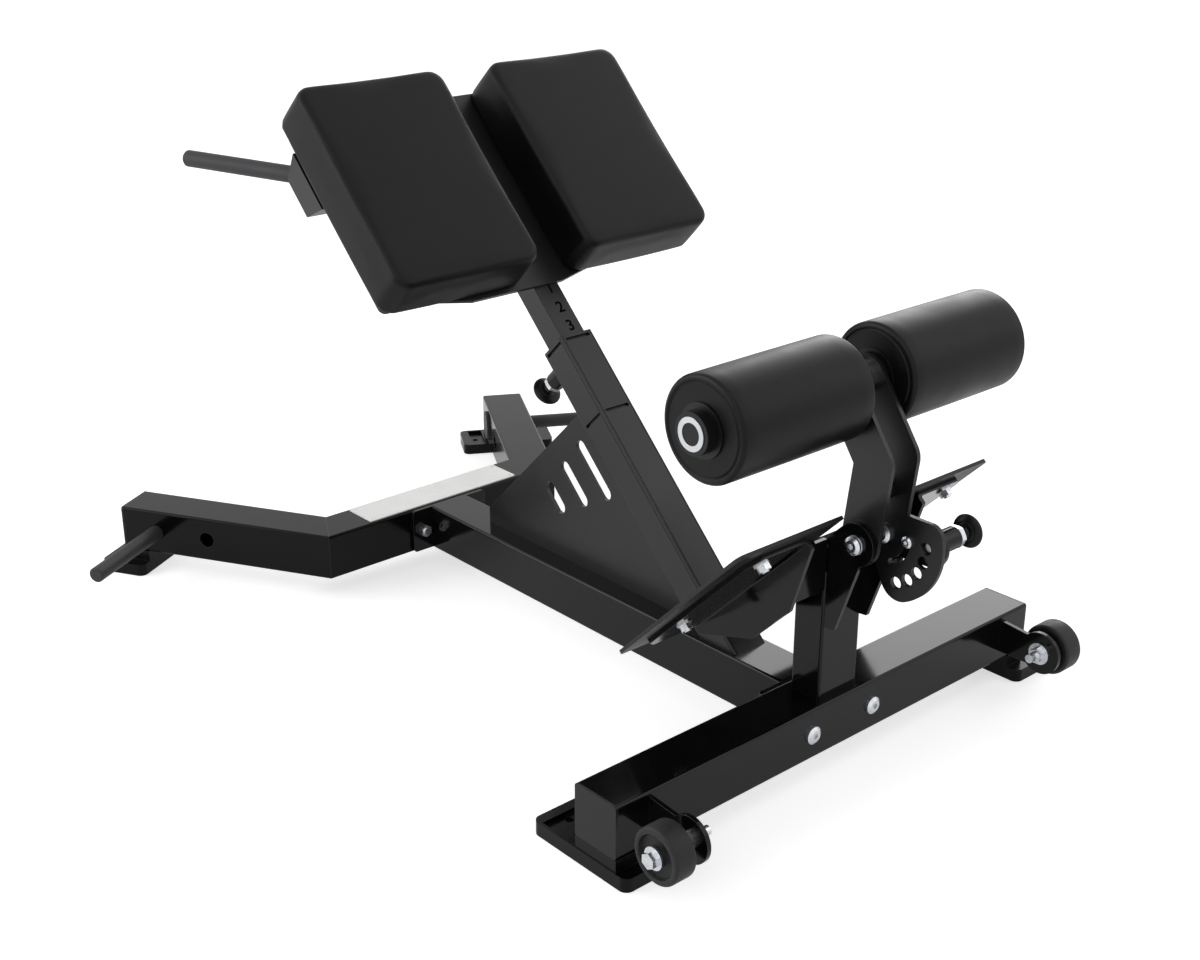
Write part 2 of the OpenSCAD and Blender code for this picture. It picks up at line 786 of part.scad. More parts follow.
// Bent bracket behind the deck: an outer flange, a round bend and a trapezoid web.
module deck_bracket(side) {
    bend = sheet_t + 3;
    back = -deck_t;
    web_to = web_from + web_len;
    low = -deck_t - sheet_t - 11;
    on_side(side) on_deck() difference() {
        union() {
            translate([-web_out - web_flange, web_from, back - sheet_t])
                cube([web_out + web_flange - web_x - bend, web_len, sheet_t]);
            translate([-web_x - bend, web_to, back - bend]) rotate([90, 0, 0])
                linear_extrude(web_len) intersection() {
                    difference() {
                        circle(bend);
                        circle(bend - sheet_t);
                    }
                    square(bend);
                }
            translate([-web_out, 0, 0]) rotate([90, 0, 90]) linear_extrude(sheet_t)
                polygon([[web_from, back - bend], [web_to, back - bend], [web_to, low],
                    [web_to - 92, -web_depth], [web_from + 92, -web_depth], [web_from, low]]);
        }
        for (j = [0, 1])
            translate([-deck_bolt_x, deck_bolt_y + j * deck_bolt_step, back - 2 * sheet_t])
                cylinder(d = deck_bolt_d + bolt_clear, h = 3 * sheet_t);
        for (j = [0, 1])
            translate([-web_out - web_flange, web_from + j * web_len, back - sheet_t / 2])
                rotate([0, 0, 45]) cube([26, 26, 2 * sheet_t], center = true);
    }
}

module deck_bracket_left() color(coat) deck_bracket(-1);

module deck_bracket_right() color(coat) deck_bracket(1);

module deck_bolts() color(steel)
    on_deck() at_deck_bolts() {
        under = deck_t + sheet_t;
        cylinder(d1 = 2.1 * deck_bolt_d, d2 = 1.5 * deck_bolt_d, h = 0.3 * deck_bolt_d);
        translate([0, 0, -under - 2 - deck_bolt_d]) cylinder(d = deck_bolt_d, h = under + 2 + deck_bolt_d);
        difference() {
            union() {
                translate([0, 0, -under - 2]) cylinder(d = 2.2 * deck_bolt_d, h = 2);
                translate([0, 0, -under - 2 - 0.8 * deck_bolt_d])
                    cylinder(d = 1.6 * deck_bolt_d / cos(30), h = 0.8 * deck_bolt_d, $fn = 6);
            }
            translate([0, 0, -under - 2 * deck_bolt_d])
                cylinder(d = deck_bolt_d, h = under + 2 * deck_bolt_d);
        }
    }

// Through bolt along Y: button head at the rear, hex nut in front.
module through_bolt(x, y0, y1) {
    translate([x, y0, tube_mid]) rotate([0, 0, 90])
        button_bolt_x(frame_bolt_d, y1 - y0 + frame_bolt_d);
    translate([x, y1, tube_mid]) rotate([0, 0, 90]) difference() {
        hex_x(1.5 * frame_bolt_d, 0, 0.8 * frame_bolt_d);
        rod_x(frame_bolt_d, -1, 2 * frame_bolt_d);
    }
}

module frame_bolts() color(steel) {
    for (i = [-1, 1]) through_bolt(i * rear_bolt_x, -tube / 2, tube / 2 + flange_t);
    for (i = [-1, 1])
        translate([0, base_reach + tube + spine_to, 0]) mirror([0, 1, 0])
            through_bolt(i * front_bolt_x, spine_to, base_reach + tube);
}

// Wheel bracket plate, welded to the crossmember's rear face.
module wheel_bracket(side) {
    on_side(side) translate([0, -axle_back, axle_z]) along_x(-wheel_bracket_x - sheet_t, -wheel_bracket_x)
        difference() {
            union() {
                circle(wheel_plate_r);
                polygon([[0, -24], [axle_back - tube / 2, -24], [axle_back - tube / 2, 26],
                    [27, 22], [0, 22]]);
            }
            circle(d = axle_d + bolt_clear);
        }
}

module wheel_bracket_left() color(coat) wheel_bracket(-1);

module wheel_bracket_right() color(coat) wheel_bracket(1);

// Distance of a wheel's inner face from the middle.
function wheel_in(side) = wheel_bracket_x + sheet_t + (side < 0 ? left_spacer : right_spacer);

// Wheel axle: hex head, washers, spacer and nut, drawn on the left.
module wheel_axle(side) {
    plate = wheel_bracket_x + sheet_t;
    wheel_out = wheel_in(side) + wheel_w;
    on_side(side) translate([0, -axle_back, axle_z]) {
        rod_x(axle_d, -wheel_out - 3, 26 - wheel_bracket_x);
        hex_x(1.5 * axle_d, -wheel_out - 12, -wheel_out - 3);
        difference() {
            union() {
                rod_x(2.4 * axle_d, -wheel_out - 3, -wheel_out - 0.2);
                rod_x(1.9 * axle_d, 0.2 - wheel_in(side), -plate);
                rod_x(2.6 * axle_d, -wheel_bracket_x, 3 - wheel_bracket_x);
                hex_x(1.5 * axle_d, 3 - wheel_bracket_x, 13 - wheel_bracket_x);
            }
            rod_x(axle_d, -wheel_out - 4, 0);
        }
    }
}

module wheel_axle_left() color(steel) wheel_axle(-1);

module wheel_axle_right() color(steel) wheel_axle(1);

// Transport wheel: a tyre with dished faces and a hub, bored for its axle.
module wheel(side) {
    r = wheel_d / 2;
    on_side(side) translate([-wheel_in(side) - wheel_w, -axle_back, axle_z]) rotate([0, 90, 0])
        rotate_extrude() difference() {
            union() {
                translate([0, 3]) square([r, wheel_w - 6]);
                square([r - 3, wheel_w]);
                for (z = [3, wheel_w - 3]) translate([r - 3, z]) circle(3);
            }
            translate([-r, -1]) square([r + axle_d / 2 + turn_clear / 2, wheel_w + 2]);
            for (z = [-1, wheel_w - 7]) translate([axle_d, z]) square([r - 9 - axle_d, 8]);
        }
}

module wheel_left() color(rubber) wheel(-1);

module wheel_right() color(rubber) wheel(1);

module blank_plate() color("white")
    translate([0, base_reach + tube / 2, tube_top]) {
        linear_extrude(plate_t) rounded(plate_len, plate_w, 4);
        for (i = [-1, 1], j = [-1, 1])
            translate([i * (plate_len / 2 - 8), j * (plate_w / 2 - 8), plate_t - eps])
                cylinder(d1 = 6, d2 = 4, h = 1 + eps);
    }

// Inner post with its row of height holes; its upper end is cut to the bracket's slope.
module inner_post() color(coat)
    on_post() difference() {
        translate([0, inner_to + slope_in + 1, inner_back - inner_d / 2]) rotate([90, 0, 0])
            linear_extrude(inner_to + slope_in + 1 - inner_from) difference() {
                rounded(inner_w, inner_d, 3);
                square([inner_w - 2 * inner_wall, inner_d - 2 * inner_wall], center = true);
            }
        along_x(-inner_w, inner_w)
            polygon([[inner_to, inner_back + 1], [inner_to, inner_back],
                [inner_to + slope_in, inner_back - bracket_d], [inner_to + 99, inner_back - bracket_d - 9],
                [inner_to + 99, inner_back + 1]]);
        for (i = [-steps_up:steps_down])
            translate([0, pin_s + i * height_step, inner_front - 1])
                cylinder(d = pin_d + pin_clear, h = inner_wall + 2);
    }

// Places a child at each pad bolt on one side, at the carrier plate's lower face.
module at_pad_bolts() {
    for (x = [pad_gap / 2 + 60, pad_gap / 2 + pad_w - 60], s = [60, pad_len - 26])
        translate([x, pad_s + s, inner_back]) children();
}

module carrier_plate() color(coat)
    on_post() difference() {
        translate([0, pad_s, inner_back]) linear_extrude(carrier_t) {
            translate([0, pad_len / 2])
                rounded(carrier_w, pad_len - 2 * carrier_margin, 10);
            translate([-tab_shift, 0])
                polygon([[-tab_half, -tab_len], [tab_half, -tab_len],
                    [tab_half + tab_slope, carrier_margin + 1],
                    [-tab_half - tab_slope, carrier_margin + 1]]);
        }
        for (side = [-1, 1]) on_side(side) at_pad_bolts()
            translate([0, 0, -1]) cylinder(d = pad_bolt_d + bolt_clear, h = carrier_t + 2);
    }

// Outline of the hat-shaped bracket, in Y along the post and Z; t moves it inwards.
module bracket_outline(t) {
    slant = t * 1.07;
    polygon([[bracket_s + slant, inner_back], [bracket_s + slope_in + slant * 0.75, inner_back - bracket_d + t],
        [bracket_s + slope_in + bracket_flat - slant * 0.75, inner_back - bracket_d + t],
        [bracket_s + bracket_foot - slant, inner_back]]);
}

module pad_bracket() color(coat)
    on_post() difference() {
        along_x(-bracket_len / 2, bracket_len / 2) bracket_outline(0);
        along_x(bracket_wall - bracket_len / 2, bracket_len / 2 - bracket_wall)
            bracket_outline(bracket_wall);
    }

// Handle tube, drawn on the left: it leaves the bracket's forward slope level and splayed out.
module handle(side) {
    root_s = bracket_s + slope_in + bracket_flat + 2.5;
    root_n = inner_back - bracket_d + 4;
    on_side(side) difference() {
        on_post() translate([-handle_x, root_s, root_n]) rotate([-post_angle, 0, 0])
            rotate([0, 0, handle_splay]) rotate([-90, 0, 0]) {
                translate([0, 0, -30]) cylinder(d = handle_d, h = handle_len + 27);
                translate([0, 0, handle_len - 3]) cylinder(d1 = handle_d, d2 = handle_d - 5, h = 3);
            }
        on_post() along_x(-bracket_len, bracket_len) bracket_outline(0);
        on_post() translate([-bracket_len, bracket_s - 60, inner_back - bracket_d])
            cube([2 * bracket_len, 60 + slope_in + bracket_flat / 2, bracket_d + 99]);
        on_post() translate([-bracket_len, bracket_s - 99, inner_back])
            cube([2 * bracket_len, 400, 99]);
    }
}

module handle_left() color(coat) handle(-1);

module handle_right() color(coat) handle(1);

// Pad board, drawn on the right.
module pad_board(side) {
    on_side(-side) on_post() difference() {
        translate([pad_gap / 2 + pad_w / 2, pad_s + pad_len / 2, carrier_top])
            linear_extrude(board_t) rounded(pad_w - 2 * board_inset, pad_len - 2 * board_inset, 16);
        at_pad_bolts() cylinder(d = pad_bolt_d + bolt_clear, h = carrier_t + board_t + 1);
    }
}

module pad_board_left() color("#6b5a44") pad_board(-1);

module pad_board_right() color("#6b5a44") pad_board(1);

// Points of one ring of a rounded rectangle, drawn in by inset, at height z.
ring_n = 10;
function ring(w, l, r, inset, z) =
    let (q = max(r - inset, 2), a = w / 2 - inset - q, b = l / 2 - inset - q)
    [for (c = [0:3], k = [0:ring_n - 1])
        let (t = 90 * c + 90 * k / (ring_n - 1), sx = (c == 0 || c == 3) ? 1 : -1, sy = c < 2 ? 1 : -1)
        [sx * a + q * cos(t), sy * b + q * sin(t), z]];

// Closed skin through a stack of rings with the same number of points.
module ring_skin(rings) {
    n = len(rings[0]);
    m = len(rings);
    points = [for (r = rings) each r];
    sides = [for (j = [0:m - 2], i = [0:n - 1], k = [0, 1])
        let (a = j * n + i, b = j * n + (i + 1) % n)
        k == 0 ? [a, a + n, b] : [b, a + n, b + n]];
    polyhedron(points, concat([[for (i = [0:n - 1]) i]], sides,
        [[for (i = [n - 1:-1:0]) (m - 1) * n + i]]));
}

// Height of a pad over its seat, and the inset of its outline there: sides drawn in at the seat
// and under the rolled edge, and a crown rising to the middle.
pad_profile = [[0, 3], [0.06, 1.2], [0.3, 0.3], [0.6, 0], [0.82, 0.6], [0.9, 2], [0.95, 4.6],
    [0.975, 8], [0.984, 13], [0.99, 28], [0.995, 52], [1, 84]];

// Hip pad, drawn on the right, with the pocket for its board.
module hip_pad(side) {
    on_side(-side) on_post()
        translate([pad_gap / 2 + pad_w / 2, pad_s + pad_len / 2, carrier_top + 0.05]) difference() {
            ring_skin([for (p = pad_profile) ring(pad_w, pad_len, pad_round, p[1], p[0] * pad_t)]);
            translate([0, 0, -1]) linear_extrude(board_t + 1.05)
                square([pad_w - 2 * board_inset + 0.6, pad_len - 2 * board_inset + 0.6], center = true);
        }
}

module hip_pad_left() color(vinyl) hip_pad(-1);

module hip_pad_right() color(vinyl) hip_pad(1);

module pad_bolts() color(steel)
    for (side = [-1, 1]) on_side(side) on_post() at_pad_bolts() {
        cylinder(d = pad_bolt_d, h = carrier_t + board_t - 1);
        translate([0, 0, -0.5 * pad_bolt_d])
            cylinder(d1 = 1.2 * pad_bolt_d, d2 = 1.9 * pad_bolt_d, h = 0.5 * pad_bolt_d);
    }

// Strip of the arm's width between two points.
module leg(a, b) {
    d = b - a;
    n = [-d[1], d[0]] / norm(d) * (arm_w / 2 - blend);
    polygon([a - n, b - n, b + n, a + n]);
}

// Dog-leg outline of an arm plate about the pivot, in Y and Z.
module arm_outline() {
    leg([0, 0], knee);
    leg(knee, roller_at);
    for (p = [[0, 0], knee, roller_at]) translate(p) circle(arm_w / 2);
}

// Sector outline: a wide arc behind and below the pivot with rounded corners.
module sector_outline() {
    top = 35.8;
    a_low = 244.3;
    low_r = 30;
    low = (sector_r - low_r + blend) * [cos(a_low), sin(a_low)];
    up_r = 20;
    up_y = top - up_r + blend;
    up = [-sqrt(pow(sector_r - up_r + blend, 2) - pow(up_y, 2)), up_y];
    far = 1.6 * sector_r;
    intersection() {
        circle(sector_r);
        polygon([[0, top], [up[0], top], up, 2 * up, [-far, -far], far * [cos(a_low), sin(a_low)],
            [0, 0]]);
    }
    translate(up) circle(up_r);
    translate(low) circle(low_r);
    polygon([[0, 0], low, low + (low_r - blend) * [-sin(a_low), cos(a_low)],
        (arm_w / 2 - 4 * blend) * [cos(-23.2), sin(-23.2)]]);
}

// Turning bore of the arm's pivot and the hole for the roller shaft.
module arm_bores() {
    circle(d = pivot_d + turn_clear);
    translate(roller_at) circle(d = shaft_d + slide_gap);
}

module arm_plate_left() color(coat)
    at_pivot() along_x(-arm_out, -arm_in) difference() {
        arm_outline();
        arm_bores();
    }

// Right arm plate with the sector: its pin holes and the slot round the stop bolt.
module arm_plate_right() color(coat)
    at_pivot() along_x(arm_in, arm_out) difference() {
        union() {
            arm_outline();
            sector_outline();
        }
        arm_bores();
        for (i = [0:hole_count - 1])
            rotate(180 + i * hole_step) translate([hole_r, 0]) circle(d = pin_d + pin_clear);
        for (a = [0, arm_sweep])
            rotate(180 + a) translate([slot_r, 0]) circle(d = stop_d + pin_clear + 2 * blend);
        intersection() {
            difference() {
                circle(slot_r + (stop_d + pin_clear) / 2);
                circle(slot_r - (stop_d + pin_clear) / 2);
            }
            polygon([[0, 0], [-2 * slot_r, 0],
                2 * slot_r * [cos(180 + arm_sweep / 2), sin(180 + arm_sweep / 2)],
                2 * slot_r * [cos(180 + arm_sweep), sin(180 + arm_sweep)]]);
        }
    }

// Round spacer that ties the arm plates together above the pivot.
module arm_spacer() color(coat)
    at_pivot() translate([0, knee[0] * 0.55 + 8, knee[1] * 0.55]) rod_x(25.4, -arm_in, arm_in);

// Places a child on the roller axis.
module at_rollers() {
    at_pivot() translate([0, roller_at[0], roller_at[1]]) children();
}

module roller_shaft() color(steel)
    at_rollers() difference() {
        rod_x(shaft_d, -shaft_half, shaft_half);
        rod_x(shaft_d - 2 * shaft_wall, -shaft_half - 1, shaft_half + 1);
    }

// Inner and outer collars that hold the rollers, the outer ones with a set screw.
module shaft_collars() color(dark)
    for (i = [0, 1]) mirror([i, 0, 0]) at_rollers() {
        difference() {
            union() {
                rod_x(collar_d, arm_out, roller_in - core_flange_t - slide_gap);
                rod_x(collar_d, collar_at, collar_at + collar_w);
            }
            rod_x(shaft_d + slide_gap, 0, shaft_half + 1);
            translate([collar_at + collar_w / 2, 0, 0]) rotate([0, 0, 90])
                rod_x(7, -collar_d, -shaft_d / 2);
        }
        translate([collar_at + collar_w / 2, 0, 0]) rotate([0, 0, 90])
            rod_x(7, 1.5 - collar_d / 2, -shaft_d / 2 - slide_gap);
    }

module shaft_plugs() color(dark)
    for (i = [0, 1]) mirror([i, 0, 0]) at_rollers()
        rod_x(shaft_d - 2 * shaft_wall - slide_gap, shaft_half - 15, shaft_half - 1);

// Flanged core tube that turns on the shaft, drawn on the right.
module roller_core(side) {
    on_side(-side) at_rollers() difference() {
        union() {
            rod_x(core_d, roller_in, roller_out);
            rod_x(core_flange_d, roller_in - core_flange_t, roller_in);
            rod_x(core_flange_d, roller_out, roller_out + core_flange_t);
        }
        rod_x(shaft_d + turn_clear, 0, roller_out + roller_in);
    }
}

module roller_core_left() color(dark) roller_core(-1);

module roller_core_right() color(dark) roller_core(1);

// Foam sleeve with rounded ends, drawn on the right.
module roller_foam(side) {
    r = roller_d / 2;
    on_side(-side) at_rollers() translate([roller_in, 0, 0]) rotate([0, 90, 0])
        rotate_extrude() difference() {
            union() {
                translate([0, roller_round]) square([r, roller_len - 2 * roller_round]);
                square([r - roller_round, roller_len]);
                for (z = [roller_round, roller_len - roller_round])
                    translate([r - roller_round, z]) circle(roller_round);
            }
            translate([-r, -1]) square([r + core_d / 2 + slide_gap / 2, roller_len + 2]);
        }
}

module roller_foam_left() color(rubber) roller_foam(-1);

module roller_foam_right() color(rubber) roller_foam(1);

rear_crossmember();
spine_tube();
spine_rear_flange();
spine_front_flange();
v_centre();
v_wing_left();
v_wing_right();
tube_end_caps();
rear_foot_left();
rear_foot_right();
front_foot_left();
front_foot_right();
band_peg_left();
band_peg_right();
gusset_plate();
outer_post();
post_liner();
post_pin_housing();
upright();
side_plate_left();
side_plate_right();
pivot_cheek_left();
pivot_cheek_right();
arm_pin_housing();
pivot_bolts();
stop_bolt();
foot_deck();
deck_bracket_left();
deck_bracket_right();
deck_bolts();
frame_bolts();
wheel_bracket_left();
wheel_bracket_right();
wheel_axle_left();
wheel_axle_right();
blank_plate();
inner_post();
carrier_plate();
pad_bracket();
handle_left();
handle_right();
pad_board_left();
pad_board_right();
hip_pad_left();
hip_pad_right();
pad_bolts();
arm_plate_left();
arm_plate_right();
arm_spacer();
roller_shaft();
shaft_collars();
shaft_plugs();
roller_core_left();
roller_core_right();
roller_foam_left();
roller_foam_right();
post_pin();
arm_pin();
wheel_left();
wheel_right();
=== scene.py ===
import json
import logging
import math
from collections.abc import Callable
from dataclasses import dataclass, field
from enum import Enum

import bpy
from mathutils import Matrix, Vector


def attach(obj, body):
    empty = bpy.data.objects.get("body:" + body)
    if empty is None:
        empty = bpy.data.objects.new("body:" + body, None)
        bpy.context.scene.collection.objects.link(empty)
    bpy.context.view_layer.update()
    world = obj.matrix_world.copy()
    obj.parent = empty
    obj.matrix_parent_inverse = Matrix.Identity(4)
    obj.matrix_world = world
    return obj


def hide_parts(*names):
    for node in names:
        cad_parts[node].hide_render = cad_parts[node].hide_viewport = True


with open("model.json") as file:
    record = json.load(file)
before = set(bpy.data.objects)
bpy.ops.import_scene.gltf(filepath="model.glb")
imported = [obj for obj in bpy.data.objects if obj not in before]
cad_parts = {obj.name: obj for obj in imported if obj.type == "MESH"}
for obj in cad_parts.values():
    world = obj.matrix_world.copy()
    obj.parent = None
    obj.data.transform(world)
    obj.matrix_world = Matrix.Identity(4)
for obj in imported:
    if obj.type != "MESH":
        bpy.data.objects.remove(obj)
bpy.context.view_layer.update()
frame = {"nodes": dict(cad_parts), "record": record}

MM = 0.001
WELD = 1e-5  # metres, within which two points are one
SMOOTH_BELOW = math.radians(32)  # an edge that turns less than this is shaded smooth
WHITE = (1.0, 1.0, 1.0, 1.0)
LOG = logging.getLogger("bench")

Profile = list[tuple[float, float]]
Point = tuple[float, float, float]
Piece = bpy.types.Object
Material = bpy.types.Material
Tree = bpy.types.NodeTree
Socket = bpy.types.NodeSocket


# ---------------------------------------------------------------- modelling

def deselect() -> None:
    """Leaves edit mode and lets go of every object."""
    if bpy.context.object and bpy.context.object.mode != "OBJECT":
        bpy.ops.object.mode_set(mode="OBJECT")
    bpy.ops.object.select_all(action="DESELECT")


def hold(piece: Piece) -> None:
    """Makes one object the only one that operators act on.

    Args:
        piece: the object to select.
    """
    deselect()
    piece.select_set(True)
    bpy.context.view_layer.objects.active = piece


def pick_edges(piece: Piece, test: Callable[[Vector, Vector], bool]) -> None:
    """Selects edges by the places of their two ends, and leaves edit mode on edges.

    Args:
        piece: the object, in edit mode before and after.
        test: takes the two ends in the piece's own space and says whether the edge is wanted.
    """
    bpy.ops.mesh.select_mode(type="EDGE")
    bpy.ops.mesh.select_all(action="DESELECT")
    bpy.ops.object.mode_set(mode="OBJECT")
    points = piece.data.vertices
    for edge in piece.data.edges:
        a, b = (points[i].co for i in edge.vertices)
        edge.select = bool(test(a, b))
    bpy.ops.object.mode_set(mode="EDIT")


def pick_faces(piece: Piece, test: Callable[[Vector, Vector], bool]) -> None:
    """Selects faces by their middle and normal.

    Args:
        piece: the object, in edit mode before and after.
        test: takes the middle and the normal and says whether the face is wanted.
    """
    bpy.ops.mesh.select_mode(type="FACE")
    bpy.ops.mesh.select_all(action="DESELECT")
    bpy.ops.object.mode_set(mode="OBJECT")
    for face in piece.data.polygons:
        face.select = bool(test(face.center, face.normal))
    bpy.ops.object.mode_set(mode="EDIT")


def lathe(name: str, profile: Profile, steps: int = 96) -> Piece:
    """Turns a closed outline about the local Z axis, as on a lathe.

    Args:
        name: the piece's name.
        profile: (place along Z, radius) in millimetres, ending on its first point.
        steps: facets round the axis.

    Returns:
        The turned piece, shaded smooth but for its sharp edges.
    """
    deselect()
    first_z, first_r = profile[0]
    bpy.ops.mesh.primitive_plane_add(size=MM, location=(first_r * MM, 0, first_z * MM))
    piece = bpy.context.object
    piece.name = name
    bpy.ops.object.transform_apply(location=True, rotation=False, scale=False)
    bpy.ops.object.mode_set(mode="EDIT")
    bpy.ops.mesh.select_mode(type="VERT")
    bpy.ops.mesh.select_all(action="SELECT")
    bpy.ops.mesh.merge(type="CENTER")
    for (z0, r0), (z1, r1) in zip(profile, profile[1:]):
        step = ((r1 - r0) * MM, 0, (z1 - z0) * MM)
        bpy.ops.mesh.extrude_region_move(TRANSFORM_OT_translate={"value": step})
    bpy.ops.mesh.select_all(action="SELECT")
    bpy.ops.mesh.spin(steps=steps, angle=math.tau, center=(0, 0, 0), axis=(0, 0, 1))
    bpy.ops.mesh.select_all(action="SELECT")
    bpy.ops.mesh.remove_doubles(threshold=WELD)
    bpy.ops.mesh.normals_make_consistent(inside=False)
    hold(piece)
    bpy.ops.object.shade_smooth_by_angle(angle=SMOOTH_BELOW)
    return piece


def fillet(z: float, r: float, size: float, from_deg: float, to_deg: float,
           points: int = 4) -> Profile:
    """Lists the points of a round edge in a lathe outline.

    Args:
        z: place of the arc's middle along the axis, in millimetres.
        r: radius of the arc's middle.
        size: the arc's own radius.
        from_deg: where it starts, 0 pointing along the axis and 90 outwards.
        to_deg: where it ends.
        points: steps in it.

    Returns:
        The arc's points.
    """
    turns = [math.radians(from_deg + (to_deg - from_deg) * i / points) for i in range(points + 1)]
    return [(z + size * math.cos(t), r + size * math.sin(t)) for t in turns]


def finish_modifiers(piece: Piece) -> None:
    """Applies every modifier of a piece, in order.

    Args:
        piece: the piece, which keeps the modified mesh.
    """
    hold(piece)
    for modifier in list(piece.modifiers):
        bpy.ops.object.modifier_apply(modifier=modifier.name)


def settle(piece: Piece, place: Matrix) -> Piece:
    """Puts a piece where it belongs and moves that place into its mesh.

    Args:
        piece: the finished piece, modelled about its own origin.
        place: where it goes in the object's frame.

    Returns:
        The same piece.
    """
    piece.matrix_world = place
    hold(piece)
    bpy.ops.object.transform_apply(location=True, rotation=True, scale=True)
    return piece


def twin(piece: Piece, name: str) -> Piece:
    """Copies a piece with its own mesh.

    Args:
        piece: the model.
        name: the copy's name.

    Returns:
        The copy.
    """
    copy = piece.copy()
    copy.data = piece.data.copy()
    copy.name = name
    bpy.context.scene.collection.objects.link(copy)
    return copy


def join(pieces: list[Piece], name: str) -> Piece:
    """Joins pieces into one object.

    Args:
        pieces: what is joined, the first one stays.
        name: the joined object's name.

    Returns:
        The joined object.
    """
    deselect()
    for piece in pieces:
        piece.select_set(True)
    bpy.context.view_layer.objects.active = pieces[0]
    bpy.ops.object.join()
    pieces[0].name = name
    return pieces[0]


def moved(x: float, y: float, z: float, turn: float = 0, axis: str = "X") -> Matrix:
    """Gives a place with a turn about one of its axes.

    Args:
        x: where it is, in millimetres.
        y: the same along Y.
        z: the same along Z.
        turn: degrees about the axis.
        axis: "X", "Y" or "Z".

    Returns:
        The place as a matrix in metres.
    """
    place = Matrix.Translation((x * MM, y * MM, z * MM))
    return place @ Matrix.Rotation(math.radians(turn), 4, axis)


class Place(Enum):
    """The slanted and turned planes that sub-assemblies are built in."""

    POST = "post"
    DECK = "deck"

    def matrix(self) -> Matrix:
        """Gives the plane's place.

        Returns:
            The plane's origin and turn in the object's frame.
        """
        if self is Place.POST:
            return moved(0, 134.8, 114.3, 45)
        return moved(0, -63.1, 403.3, -45)


class Side(Enum):
    """Left and right as the user of the bench has them."""

    LEFT = -1
    RIGHT = 1

    @property
    def word(self) -> str:
        """The side's name in a node's name."""
        return self.name.lower()


# ----------------------------------------------------------------- finishes

def linear(colour: str) -> tuple[float, float, float, float]:
    """Turns an sRGB hex colour to linear.

    Args:
        colour: "#rrggbb".

    Returns:
        Linear red, green and blue, and 1 for alpha.
    """
    parts = [int(colour[i:i + 2], 16) / 255 for i in (1, 3, 5)]
    return tuple(c / 12.92 if c <= 0.04045 else ((c + 0.055) / 1.055) ** 2.4
                 for c in parts) + (1.0,)


def add_node(tree: Tree, kind: str, inputs: dict | None = None,
             **settings: object) -> bpy.types.Node:
    """Adds one node with its settings, values and links.

    Args:
        tree: the node tree.
        kind: Blender's name for the node.
        inputs: for each input by name or number, a value or the socket that feeds it.
        settings: the node's own properties.

    Returns:
        The node.
    """
    node = tree.nodes.new(kind)
    for key, value in settings.items():
        setattr(node, key, value)
    for key, value in (inputs or {}).items():
        if isinstance(value, Socket):
            tree.links.new(value, node.inputs[key])
        else:
            node.inputs[key].default_value = value
    return node


class Grain(Enum):
    """How the fine relief of a surface looks."""

    PEEL = "rounded waves of a coat that flowed in an oven"
    PEBBLE = "raised cells with creases between"
    PORES = "irregular fine pits"
    BRUSHED = "long lines along one direction"


MOTTLE = (0.35, 0.65)  # the part of the noise over which one shade turns to the other
GLOSS_MOTTLE = (0.3, 0.7)  # the same for the gloss
SMOOTHEST = 0.02  # no surface is a perfect mirror
CREASE = 0.22  # how far a crease between two pebbles reaches into them
ALONG_BRUSH = 0.06  # how fast the relief changes along brushed lines, with 1 across them
EDGE_FLAT, EDGE_BENT = 0.97, 0.8  # cosines of an edge's lean, where the painted edge highlight starts and is full
MOST_HIGHLIGHT = 0.7  # share of the painted highlight colour on the sharpest edge
